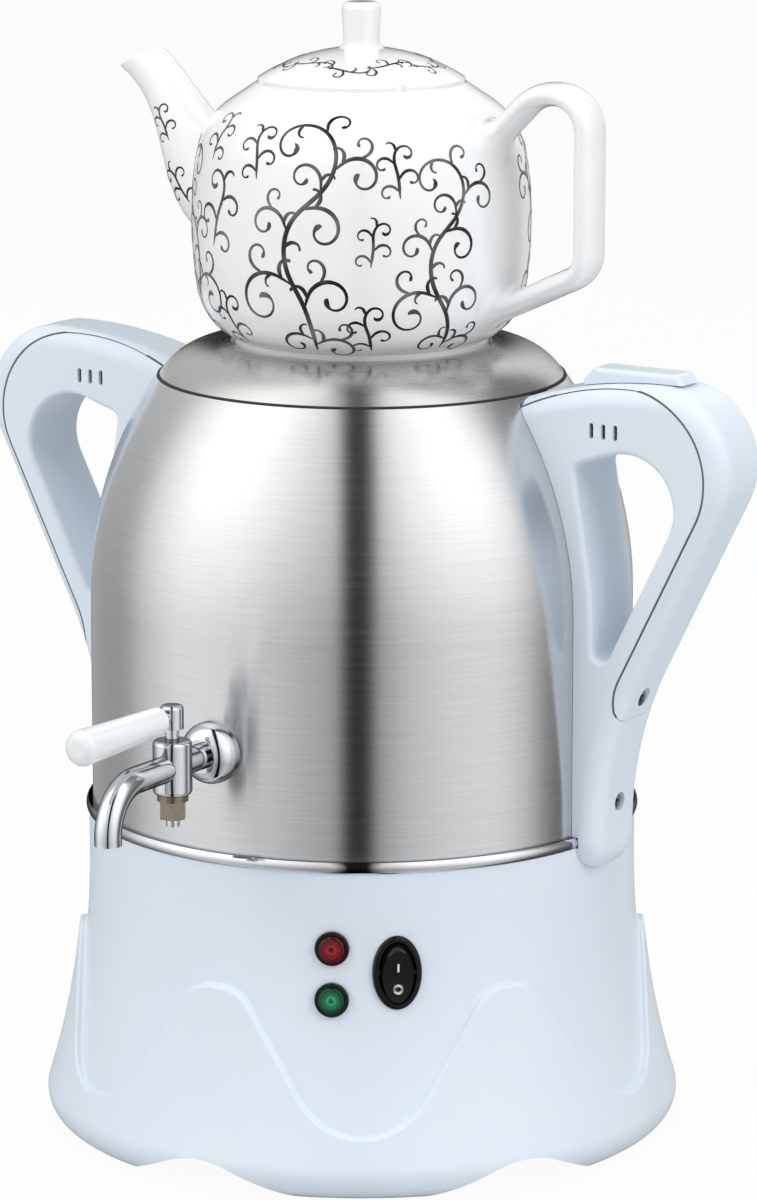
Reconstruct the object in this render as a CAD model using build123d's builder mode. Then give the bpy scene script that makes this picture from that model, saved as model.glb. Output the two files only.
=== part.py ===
from build123d import *
import os
from math import asin, atan2, cos, degrees, hypot, radians, sin, sqrt, tan

# Electric tea maker: a stainless samovar on a moulded base, with a plug tap, two loop
# handles, a gallery lid and a ceramic teapot on top. Millimetres, +Z up. The origin is
# on the vessel's axis, on the surface that it stands on. The tap points along -Y and the
# handles along X. An azimuth is measured from -Y towards +X.

# Shared stock and fits
SHEET = 1.0
SNUG = 0.1
RUNNING = 0.3
SLIP = 0.5

# Base housing
BASE_HEIGHT = 127.5
BASE_TOP_RADIUS = 109.2
BASE_WALL = 2.8
BELL_DROP = 17.5
BELL_RADIUS = 320.0
SKIRT_STEP = 3.0
TOE_RADIUS = 11.0
FOOT_GAP = 1.0
FOOT_COUNT = 6
FOOT_WIDTH = 37.0
FOOT_BEND = 12.0
ARCH_RISE = 13.0
ARCH_BEND_SHARE = 0.88
WAVE_TROUGH = 26.0
WAVE_PEAK_DROP = 47.5
WAVE_TROUGH_BEND = 28.0
WAVE_PEAK_BEND = 12.0
WAVE_LAND = 2.5
LEDGE_ROUND = 1.2
TOP_FLANGE = 3.0
TOP_FLANGE_WIDTH = 29.2

# Bottom cover, its legs and screws
PLATE_MARGIN = 0.4
PLATE_THICKNESS = 2.5
PLATE_RISE = 1.5
SEAT_RIB_WIDTH = 3.0
SEAT_RIB_HEIGHT = 2.5
LEG_RADIUS = 10.0
LEG_INSET = 13.6
PAD_RADIUS = 7.5
PAD_HEIGHT = 4.0
PAD_RECESS = 2.5
PILLAR_COUNT = 3
PILLAR_INSET = 10.6
PILLAR_RADIUS = 5.5
PILLAR_HEIGHT = 26.0
PILLAR_RIB = 3.0
COVER_SCREW_RADIUS = 1.75
COVER_SCREW_LENGTH = 14.0
COVER_SCREW_HEAD_RADIUS = 3.6
COVER_SCREW_HEAD_HEIGHT = 1.2
VENT_COUNT = 12
VENT_INSET = 57.6
VENT_LENGTH = 26.0
VENT_WIDTH = 4.0

# Trim ring, vessel and heater
TRIM_HEIGHT = 4.3
TRIM_PROUD = 1.9
TRIM_BULGE = 0.8
TRIM_FLANGE = 0.8
TRIM_FLANGE_WIDTH = 8.0
VESSEL_INSET = 1.5
WALL_RISE = 89.0
SHOULDER_RADIUS = 148.6
MOUTH_INSET = 26.9
SEAT_DEPTH = 4.8
SEAT_WIDTH = 11.5
SEAT_LIP = 4.0
FLOOR_RISE = 6.7
SPREADER_INSET = 35.7
SPREADER_THICKNESS = 5.0
ELEMENT_INSET = 18.0
ELEMENT_RADIUS = 3.5
ELEMENT_GAP_ANGLE = 34.0
ELEMENT_TAIL = 16.0
ELEMENT_TAIL_RADIUS = 2.5
STUD_COUNT = 4
STUD_INSET = 15.7
STUD_RADIUS = 2.0
STUD_TAIL = 7.0
NUT_RADIUS = 4.0
NUT_HEIGHT = 3.2
THERMOSTAT_RADIUS = 8.0
THERMOSTAT_HEIGHT = 10.0
THERMOSTAT_SHARE = 0.45
THERMOSTAT_EAR = 14.0
THERMOSTAT_EAR_WIDTH = 7.0
FUSE_RADIUS = 2.5
FUSE_LENGTH = 14.0
FUSE_SHARE = 0.48
TAB_LENGTH = 7.0
TAB_WIDTH = 5.0
TAB_THICKNESS = 0.8
BLOCK_LENGTH = 34.0
BLOCK_WIDTH = 18.0
BLOCK_HEIGHT = 15.0
BLOCK_POLES = 3
POLE_PITCH = 10.0
POLE_RADIUS = 2.6
POLE_DEPTH = 8.0
WIRE_RADIUS = 1.3
WIRE_BEND = 7.0
WIRE_LEAD = 12.0
WIRE_RISE = 27.0

# Controls on the base
PANEL_AZIMUTH = 32.0
LAMP_ANGLE = -6.0
LAMP_DROP = 29.5
LAMP_PITCH = 20.0
LAMP_RADIUS = 6.6
LAMP_LENS_RADIUS = 5.2
LAMP_BARREL_RADIUS = 5.0
LAMP_BARREL_LENGTH = 20.0
LAMP_BEZEL_HEIGHT = 2.0
LAMP_LENS_DOME = 1.2
LAMP_SEAT = 0.3
SWITCH_ANGLE = 7.0
SWITCH_DROP = 39.0
SWITCH_WIDTH = 19.0
SWITCH_LENGTH = 28.8
SWITCH_BEZEL = 2.2
SWITCH_BEZEL_RIM = 2.1
SWITCH_LIP = 1.0
SWITCH_POCKET = 4.0
SWITCH_ROUND = 1.2
SWITCH_TAB_PITCH = 14.0
SWITCH_SEAT = 0.5
SWITCH_BODY_DEPTH = 17.0
ROCKER_GAP = 0.4
ROCKER_KEEL = 0.8
TRUNNION_RADIUS = 1.2
TRUNNION_FIT = 0.08
ROCKER_HEIGHT = 6.5
ROCKER_DRAFT = 12.0
ROCKER_DISH = 40.0
ROCKER_DISH_DEPTH = 1.8
ROCKER_THROW = 18.0
INLET_DROP = 31.5
INLET_WIDTH = 31.0
INLET_LENGTH = 25.0
INLET_CORNER = 4.0
INLET_FLANGE = 2.0
INLET_SEAT = 1.3
INLET_BODY_WIDTH = 27.0
INLET_BODY_LENGTH = 20.0
INLET_BODY_DEPTH = 19.0
INLET_WALL = 1.5
INLET_FLOOR = 3.0
PIN_WIDTH = 2.0
PIN_LENGTH = 4.0
PIN_REACH = 14.0
PIN_PITCH = 7.0
PIN_OFFSET = 2.0

# Tap
TAP_RISE = 43.5
TAP_STANDOFF = 19.8
TAP_STEM_RADIUS = 5.0
TAP_STEM_TAIL = 9.0
TAP_BORE = 3.0
ROSETTE_RADIUS = 12.0
ROSETTE_NECK = 6.5
ROSETTE_BULGE = 1.0
ROSETTE_LENGTH = 9.0
ROSETTE_EDGE = 2.0
BARREL_RADIUS = 7.5
BARREL_HEIGHT = 21.0
BARREL_ROUND = 1.6
PLUG_TOP_RADIUS = 5.3
PLUG_BOTTOM_RADIUS = 4.5
PLUG_FIT = 0.08
SPINDLE_RADIUS = 2.6
SPINDLE_SEAT = 4.0
LEVER_HEAD_RADIUS = 4.4
LEVER_HEAD_RISE = 4.6
LEVER_HEAD_DROP = 4.6
LEVER_HEAD_ROUND = 1.5
LEVER_RISE = 19.5
LEVER_ROD_RADIUS = 2.4
LEVER_ROD_LENGTH = 26.0
GRIP_START = 9.0
GRIP_LENGTH = 53.5
GRIP_ROOT_RADIUS = 5.4
GRIP_END_RADIUS = 7.0
GRIP_END_ROUND = 4.0
GRIP_ROOT_ROUND = 1.2
NUT_WASHER_RADIUS = 6.0
NUT_WASHER_HEIGHT = 2.4
TAP_NUT_RADIUS = 5.4
TAP_NUT_HEIGHT = 7.0
TAP_TAIL_RADIUS = 2.6
TAP_TAIL_END = 3.0
SPOUT_RADIUS = 5.2
SPOUT_THROW = 43.0
SPOUT_BEND = 18.0
SPOUT_DROP = 3.0
BACK_NUT_RADIUS = 10.0
BACK_NUT_HEIGHT = 5.0
TAP_SEAL = 1.5
TAP_SEAL_RADIUS = 9.0

# Loop handles
HANDLE_WIDTH = 34.0
HANDLE_LEAN = 26.6
HANDLE_TIP_GAP = 2.2
CROWN_REACH = 32.0
CROWN_RISE = 9.1
CROWN_RADIUS = 190.0
GRIP_OUTER_BEND = 31.0
KNEE_BEND = 145.0
FOOT_DEPTH = 10.0
FOOT_OVERLAP = 9.5
FOOT_CORNER = 13.0
HANDLE_ROUND = 8.0
SEAM_GAP = 0.4
SEAM_REACH = 21.0
SEAM_RISE = 7.0
SEAM_CROWN = 108.5
SEAM_BEND = 33.0
SEAM_FOOT = 15.5
SEAM_KNEE = 25.0
SEAM_TURN = 8.0
CAP_END_RISE = 58.0
CAP_END_CORNER = 11.0
OPENING_CORNER_IN = 2.0
OPENING_CORNER_DROP = 23.5
OPENING_COLUMN = 6.5
OPENING_TOP_SLOPE = 18.0
OPENING_BEND_REACH = 21.4
OPENING_BEND_DROP = 35.7
OPENING_BEND = 20.8
OPENING_HEEL = 4.0
OPENING_CORNER = 4.0
OPENING_BACK_RISE = 9.5
OPENING_BACK_BEND = 120.0
OPENING_ROUND = 2.0
SLOT_COUNT = 3
SLOT_PITCH = 5.2
SLOT_WIDTH = 1.8
SLOT_HEIGHT = 6.0
SLOT_DEPTH = 2.0
SLOT_REACH = 11.0
SLOT_DROP = 9.3
FOOT_SCREW_RISE = 16.5
CAP_SCREW_RISE = 11.0
HANDLE_SCREW_RADIUS = 1.9
HANDLE_SCREW_HEAD = 3.4
HANDLE_SCREW_HEAD_HEIGHT = 2.4
HANDLE_SCREW_RECESS = 3.8
HANDLE_SCREW_RECESS_DEPTH = 3.5
CROSS_LENGTH = 4.4
CROSS_WIDTH = 0.9
CROSS_DEPTH = 1.4
CAP_SCREW_DEPTH = 16.9
CAP_SCREW_STOP = 3.5
BOSS_RADIUS = 4.5
BOSS_LENGTH = 4.0
BRACKET_RISE = 45.5
BRACKET_WIDTH = 12.0
BRACKET_REACH = 5.0
BRACKET_THICKNESS = 2.0

# Lid latch
LATCH_TRAVEL = 5.0
LATCH_WIDTH = 14.0
LATCH_START = -4.0
LATCH_END = 45.0
LATCH_HEIGHT = 13.2
LATCH_NOSE = 5.0
LATCH_HEEL = 8.0
LATCH_ROUND = 2.0
TONGUE_WIDTH = 12.0
TONGUE_THICKNESS = 1.4
TONGUE_GAP = 0.4
WEB_START = 0.5
WEB_LENGTH = 12.0
WEB_WIDTH = 8.0

# Vessel lid
LID_GAP = 0.9
LID_RISE = 13.2
LID_SLOPE = 23.9
LID_SEAL_HEIGHT = 1.2
LID_SEAL_WIDTH = 8.0
COLLAR_DEPTH = 9.0
GALLERY_DEPTH = 1.2
GALLERY_PLAY = 1.5
STEAM_HOLE_INSET = 16.0
STEAM_COLLAR = 5.0

# Teapot
POT_WALL = 4.0
POT_FOOT_INSET = 6.0
POT_FOOT_WIDTH = 5.0
POT_FOOT_HEIGHT = 4.0
POT_BELLY_BULGE = 16.5
POT_BELLY_HEIGHT = 47.0
POT_BELLY_BAND = 5.0
POT_LOWER_BEND = 150.0
POT_LOWER_TURN = 9.5
POT_BASE_BEND = 26.0
POT_BASE_TURN = 55.0
POT_UPPER_BEND = 130.0
POT_UPPER_TURN = 11.0
POT_SHOULDER_BEND = 30.0
POT_SHOULDER_TURN = 45.0
POT_RIM_INSET = 25.5
POT_RIM_WIDTH = 6.0
SPOUT_ROOT = (-16.5, 54.0)
SPOUT_ROOT_HALF = (25.0, 16.0)
SPOUT_MIDDLE = (15.5, 78.5)
SPOUT_MIDDLE_HALF = (14.0, 11.5)
SPOUT_NECK = (27.0, 97.5)
SPOUT_NECK_HALF = (9.4, 9.0)
SPOUT_TIP = (36.5, 106.5)
SPOUT_TIP_HALF = (10.0, 8.5)
SPOUT_ROOT_PITCH = 22.0
SPOUT_MIDDLE_PITCH = 42.0
SPOUT_NECK_PITCH = 47.0
SPOUT_TIP_PITCH = 66.0
SPOUT_WALL = 3.0
STRAINER_HOLE = 2.0
STRAINER_PITCH = 8.0
EAR_HALF_DEPTH = 4.6
EAR_HALF_WIDTH = 9.0
EAR_ROOT_INSET = 12.0
EAR_TOP = (13.5, 103.3)
EAR_UPPER_ROOT_RISE = 78.0
EAR_OUTER_GAP = 35.9
EAR_LOWER_RISE = 36.0
EAR_LOWER_ROOT_RISE = 14.0
EAR_TOP_BEND = 14.0
EAR_ROOT_BEND = 18.0
EAR_HEEL_BEND = 11.0

# Teapot lid
POT_LID_WALL = 4.0
POT_LID_DOME = 12.0
POT_LID_EDGE = 1.6
POT_LID_PLUG = 9.0
POT_LID_PLUG_WALL = 4.0
FINIAL_FOOT_RADIUS = 6.8
FINIAL_TOP_RADIUS = 7.8
FINIAL_HEIGHT = 17.5
FINIAL_ROUND = 3.0
FINIAL_FOOT_ROUND = 3.0
STEAM_NOTCH_RADIUS = 2.2
STEAM_NOTCH_AZIMUTH = 55.0

# Places that follow from the sizes above
FOOT_STEP = 360.0 / FOOT_COUNT
FOOT_AZIMUTHS = [PANEL_AZIMUTH + FOOT_STEP * k for k in range(FOOT_COUNT)]
ARCH_AZIMUTHS = [azimuth + FOOT_STEP / 2 for azimuth in FOOT_AZIMUTHS]
LAMP_AZIMUTH = PANEL_AZIMUTH + LAMP_ANGLE
SWITCH_AZIMUTH = PANEL_AZIMUTH + SWITCH_ANGLE
INLET_AZIMUTH = PANEL_AZIMUTH + 180.0
LAMP_RED_HEIGHT = BASE_HEIGHT - LAMP_DROP
LAMP_GREEN_HEIGHT = LAMP_RED_HEIGHT - LAMP_PITCH
SWITCH_HEIGHT = BASE_HEIGHT - SWITCH_DROP
INLET_HEIGHT = BASE_HEIGHT - INLET_DROP
BELL_START = BASE_HEIGHT - BELL_DROP
BELL_CENTRE = BASE_TOP_RADIUS + BELL_RADIUS
WAVE_PEAK = BASE_HEIGHT - WAVE_PEAK_DROP
TOP_FLANGE_INNER = BASE_TOP_RADIUS - TOP_FLANGE_WIDTH
PLATE_RADIUS = BASE_TOP_RADIUS + PLATE_MARGIN
LEG_CIRCLE = PLATE_RADIUS - LEG_INSET
PILLAR_CIRCLE = PLATE_RADIUS - PILLAR_INSET
VENT_CIRCLE = PLATE_RADIUS - VENT_INSET
ARCH_TOP = FOOT_GAP + ARCH_RISE
PLATE_BOTTOM = ARCH_TOP + PLATE_RISE
PLATE_TOP = PLATE_BOTTOM + PLATE_THICKNESS
WIRE_LEVEL = PLATE_TOP + BLOCK_HEIGHT + WIRE_RISE
TRIM_TOP = BASE_HEIGHT + TRIM_HEIGHT
VESSEL_RADIUS = BASE_TOP_RADIUS - VESSEL_INSET
TRIM_RADIUS = VESSEL_RADIUS + TRIM_PROUD
VESSEL_BOTTOM = BASE_HEIGHT + TRIM_FLANGE
SHOULDER_START = BASE_HEIGHT + WALL_RISE
SHOULDER_CENTRE = VESSEL_RADIUS - SHOULDER_RADIUS
MOUTH_RADIUS = VESSEL_RADIUS - MOUTH_INSET
MOUTH_HEIGHT = SHOULDER_START + sqrt(SHOULDER_RADIUS**2 - (MOUTH_RADIUS - SHOULDER_CENTRE) ** 2)
SEAT_HEIGHT = MOUTH_HEIGHT - SEAT_DEPTH
SEAT_INNER = MOUTH_RADIUS - SEAT_WIDTH
FLOOR_BOTTOM = VESSEL_BOTTOM + FLOOR_RISE
SPREADER_BOTTOM = FLOOR_BOTTOM - SPREADER_THICKNESS
SPREADER_RADIUS = VESSEL_RADIUS - SPREADER_INSET
ELEMENT_CIRCLE = SPREADER_RADIUS - ELEMENT_INSET
THERMOSTAT_OFFSET = THERMOSTAT_SHARE * ELEMENT_CIRCLE
FUSE_OFFSET = FUSE_SHARE * ELEMENT_CIRCLE
STUD_CIRCLE = VESSEL_RADIUS - STUD_INSET
FLANGE_BOTTOM = BASE_HEIGHT - TOP_FLANGE
COLLAR_TOP = SEAT_HEIGHT + LID_SEAL_HEIGHT + SHEET
TONGUE_BOTTOM = COLLAR_TOP + TONGUE_GAP
TONGUE_TOP = TONGUE_BOTTOM + TONGUE_THICKNESS
LID_RADIUS = MOUTH_RADIUS - LID_GAP
LID_FLAT_RADIUS = LID_RADIUS - LID_SLOPE
POT_FOOT_RADIUS = LID_FLAT_RADIUS - POT_FOOT_INSET
STEAM_HOLE_RADIUS = POT_FOOT_RADIUS - STEAM_HOLE_INSET
POT_BELLY_RADIUS = POT_FOOT_RADIUS + POT_BELLY_BULGE
POT_RIM_RADIUS = POT_BELLY_RADIUS - POT_RIM_INSET
POT_MOUTH_RADIUS = POT_RIM_RADIUS - POT_RIM_WIDTH
LID_RIM_HEIGHT = MOUTH_HEIGHT + SLIP
LID_TOP = LID_RIM_HEIGHT + LID_RISE
POT_BOTTOM = LID_TOP - GALLERY_DEPTH
POT_BELLY_Z = POT_BOTTOM + POT_BELLY_HEIGHT
TAP_HEIGHT = BASE_HEIGHT + TAP_RISE
TAP_REACH = VESSEL_RADIUS + TAP_STANDOFF + BARREL_RADIUS
SPOUT_REACH = TAP_REACH + SPOUT_THROW
BARREL_BOTTOM = TAP_HEIGHT - BARREL_HEIGHT / 2
BARREL_TOP = TAP_HEIGHT + BARREL_HEIGHT / 2
LEVER_HEIGHT = TAP_HEIGHT + LEVER_RISE
LEVER_HEAD_BOTTOM = LEVER_HEIGHT - LEVER_HEAD_DROP
HANDLE_TIP_RADIUS = MOUTH_RADIUS + HANDLE_TIP_GAP
FOOT_END = BASE_HEIGHT - FOOT_OVERLAP
FOOT_FACE = VESSEL_RADIUS + FOOT_DEPTH
CAP_END = FOOT_END + CAP_END_RISE
FOOT_SCREW_HEIGHT = BASE_HEIGHT + FOOT_SCREW_RISE
BRACKET_HEIGHT = SHOULDER_START + BRACKET_RISE
OPENING_BACK_START = SHOULDER_START + OPENING_BACK_RISE
STUD_START = 180.0 / STUD_COUNT
SHOULDER_MIDDLE = degrees(asin((MOUTH_HEIGHT - SHOULDER_START) / SHOULDER_RADIUS)) / 2
ELEMENT_END = degrees(ELEMENT_RADIUS / ELEMENT_CIRCLE)
ELEMENT_ENDS = [
    (
        ELEMENT_CIRCLE * cos(radians(angle)),
        ELEMENT_CIRCLE * sin(radians(angle)),
        SPREADER_BOTTOM,
    )
    for angle in (ELEMENT_END, -ELEMENT_GAP_ANGLE - ELEMENT_END)
]
PIN_PLACES = [(-PIN_PITCH, -PIN_OFFSET), (PIN_PITCH, -PIN_OFFSET), (0, PIN_OFFSET)]


def outward(azimuth):
    """Unit vector away from the axis at an azimuth."""
    return Vector(sin(radians(azimuth)), -cos(radians(azimuth)), 0)


def radial_plane(azimuth, radius, height=0.0):
    """Plane that faces outwards at a radius, with its y direction up."""
    facing = outward(azimuth)
    return Plane(
        origin=facing * radius + Vector(0, 0, height),
        x_dir=outward(azimuth + 90.0),
        z_dir=facing,
    )


def bell(height, step=0.0):
    """Radius of the base's flared wall at a height, plus a step outwards."""
    drop = max(BELL_START - height, 0.0)
    return BELL_CENTRE - sqrt((BELL_RADIUS - step) ** 2 - drop**2)


def wall_plane(azimuth, height):
    """Plane that lies on the base's flared wall and faces along its normal."""
    drop = max(BELL_START - height, 0.0)
    tilt = asin(drop / BELL_RADIUS)
    facing = outward(azimuth) * cos(tilt) + Vector(0, 0, sin(tilt))
    return Plane(
        origin=outward(azimuth) * bell(height) + Vector(0, 0, height),
        x_dir=outward(azimuth + 90.0),
        z_dir=facing,
    )


def shoulder(height):
    """Outer radius of the vessel at a height."""
    rise = max(height - SHOULDER_START, 0.0)
    return SHOULDER_CENTRE + sqrt(SHOULDER_RADIUS**2 - rise**2)


def flank(low, high, low_bend, high_bend):
    """Angle of the straight flank between an arc on a low point and an arc under a high one."""
    across = high[0] - low[0]
    rise = (high[1] - high_bend) - (low[1] + low_bend)
    span = hypot(across, rise)
    return degrees(atan2(rise, across) + asin((low_bend + high_bend) / span))


def s_curve(low, high, low_bend, high_bend):
    """Draw the curve that leaves a low point level, climbs and arrives level at a high point."""
    side = 1 if high[0] > low[0] else -1
    angle = flank((0, low[1]), (abs(high[0] - low[0]), high[1]), low_bend, high_bend)
    lower = JernArc(low, (side, 0), low_bend, side * angle)
    across = side * high_bend * sin(radians(angle))
    upper_start = (high[0] - across, high[1] - high_bend * (1 - cos(radians(angle))))
    Line(lower @ 1, upper_start)
    heading = (side * cos(radians(angle)), sin(radians(angle)))
    JernArc(upper_start, heading, high_bend, -side * angle)


SWITCH_PLANE = wall_plane(SWITCH_AZIMUTH, SWITCH_HEIGHT).offset(-SWITCH_SEAT)
INLET_PLANE = wall_plane(INLET_AZIMUTH, INLET_HEIGHT).offset(-INLET_SEAT)
TRUNNION_REACH = SWITCH_WIDTH / 2 - SWITCH_LIP - RUNNING
HINGE_PLANE = Plane(origin=SWITCH_PLANE.origin, x_dir=SWITCH_PLANE.y_dir, z_dir=SWITCH_PLANE.x_dir)
ROCKER_TILT = radians(ROCKER_THROW / 2)
ROCKER_PLANE = Plane(
    origin=SWITCH_PLANE.origin,
    x_dir=SWITCH_PLANE.x_dir,
    z_dir=SWITCH_PLANE.z_dir * cos(ROCKER_TILT) - SWITCH_PLANE.y_dir * sin(ROCKER_TILT),
)
ROCKER_SIDE = Plane(origin=ROCKER_PLANE.origin, x_dir=ROCKER_PLANE.y_dir, z_dir=ROCKER_PLANE.x_dir)
TAP_AXIS = Axis((0, 0, TAP_HEIGHT), (0, -1, 0))
PLUG_AXIS = Axis((0, -TAP_REACH, 0), (0, 0, 1))
LEVER_AXIS = Axis((0, 0, LEVER_HEIGHT), (0, -1, 0))
STEM_END = VESSEL_RADIUS - SHEET - TAP_STEM_TAIL
SPINDLE_TOP = LEVER_HEAD_BOTTOM + SPINDLE_SEAT
NUT_BOTTOM = BARREL_BOTTOM - SNUG - NUT_WASHER_HEIGHT - TAP_NUT_HEIGHT
SEAL_FACE = sqrt((VESSEL_RADIUS - SHEET) ** 2 - TAP_SEAL_RADIUS**2) - TAP_SEAL
HANDLE_INNER = MOUTH_RADIUS - CROWN_RISE
CROWN_APEX = (VESSEL_RADIUS + CROWN_REACH, MOUTH_HEIGHT + CROWN_RISE)
SEAM_APEX = (VESSEL_RADIUS + SEAM_REACH, MOUTH_HEIGHT + SEAM_RISE)
CAP_SCREW_HEIGHT = CAP_END + CAP_SCREW_RISE
CAP_SCREW_FACE = VESSEL_RADIUS + CAP_SCREW_DEPTH
CAP_SCREW_LENGTH = CAP_SCREW_DEPTH - CAP_SCREW_STOP
FOOT_SCREW_LENGTH = FOOT_DEPTH - HANDLE_SCREW_RECESS_DEPTH - SHEET
BRACKET_ROOT = shoulder(BRACKET_HEIGHT)
WEB_END = VESSEL_RADIUS + WEB_START + WEB_LENGTH
GALLERY_RADIUS = POT_FOOT_RADIUS + GALLERY_PLAY


def front_edges(shape, plane):
    """Edges that lie furthest along a plane's normal."""
    return shape.edges().group_by(Axis(plane.origin, plane.z_dir))[-1]


def ledge_edges(shape, step):
    """Edges of the wave-shaped ledge that lie on the flared wall moved out by a step."""
    edges = []
    for edge in shape.edges().filter_by(GeomType.BSPLINE):
        middle = edge @ 0.5
        off_wall = hypot(middle.X, middle.Y) - bell(middle.Z, step)
        if WAVE_TROUGH - LEDGE_ROUND < middle.Z < WAVE_PEAK + LEDGE_ROUND and abs(off_wall) < SNUG:
            edges.append(edge)
    return edges


# Base housing: skirt, wave edge, wall, cavity, arches and openings
TOE_HEIGHT = FOOT_GAP + TOE_RADIUS
SKIRT_BEND = BELL_RADIUS - SKIRT_STEP
TOE_CENTRE = BELL_CENTRE - sqrt((SKIRT_BEND + TOE_RADIUS) ** 2 - (BELL_START - TOE_HEIGHT) ** 2)
TOE_SHARE = TOE_RADIUS / (SKIRT_BEND + TOE_RADIUS)
TOE_JOIN = (
    TOE_CENTRE + (BELL_CENTRE - TOE_CENTRE) * TOE_SHARE,
    TOE_HEIGHT + (BELL_START - TOE_HEIGHT) * TOE_SHARE,
)
TOE_TURN = 45.0
TOE_MIDDLE = (
    TOE_CENTRE + TOE_RADIUS * sin(radians(TOE_TURN)),
    TOE_HEIGHT - TOE_RADIUS * cos(radians(TOE_TURN)),
)
SKIRT_CROWN = WAVE_PEAK + SKIRT_STEP
SKIRT_MIDDLE = (SKIRT_CROWN + TOE_JOIN[1]) / 2
LOWER_BORE = PLATE_RADIUS + RUNNING
CUTTER_REACH = 60.0
WAVE_HALF = bell(WAVE_PEAK, SKIRT_STEP) * sin(radians(FOOT_STEP / 2)) - WAVE_LAND
WAVE_END = WAVE_HALF + WAVE_LAND + SKIRT_STEP
FOOT_HALF_ANGLE = degrees(asin(FOOT_WIDTH / 2 / TOE_CENTRE))
ARCH_HALF = TOE_CENTRE * sin(radians(FOOT_STEP / 2 - FOOT_HALF_ANGLE))
ARCH_BEND = ARCH_BEND_SHARE * ARCH_HALF
RIB_TOP = PLATE_TOP + SEAT_RIB_HEIGHT
CAVITY_MIDDLE = (RIB_TOP + BELL_START) / 2

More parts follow.
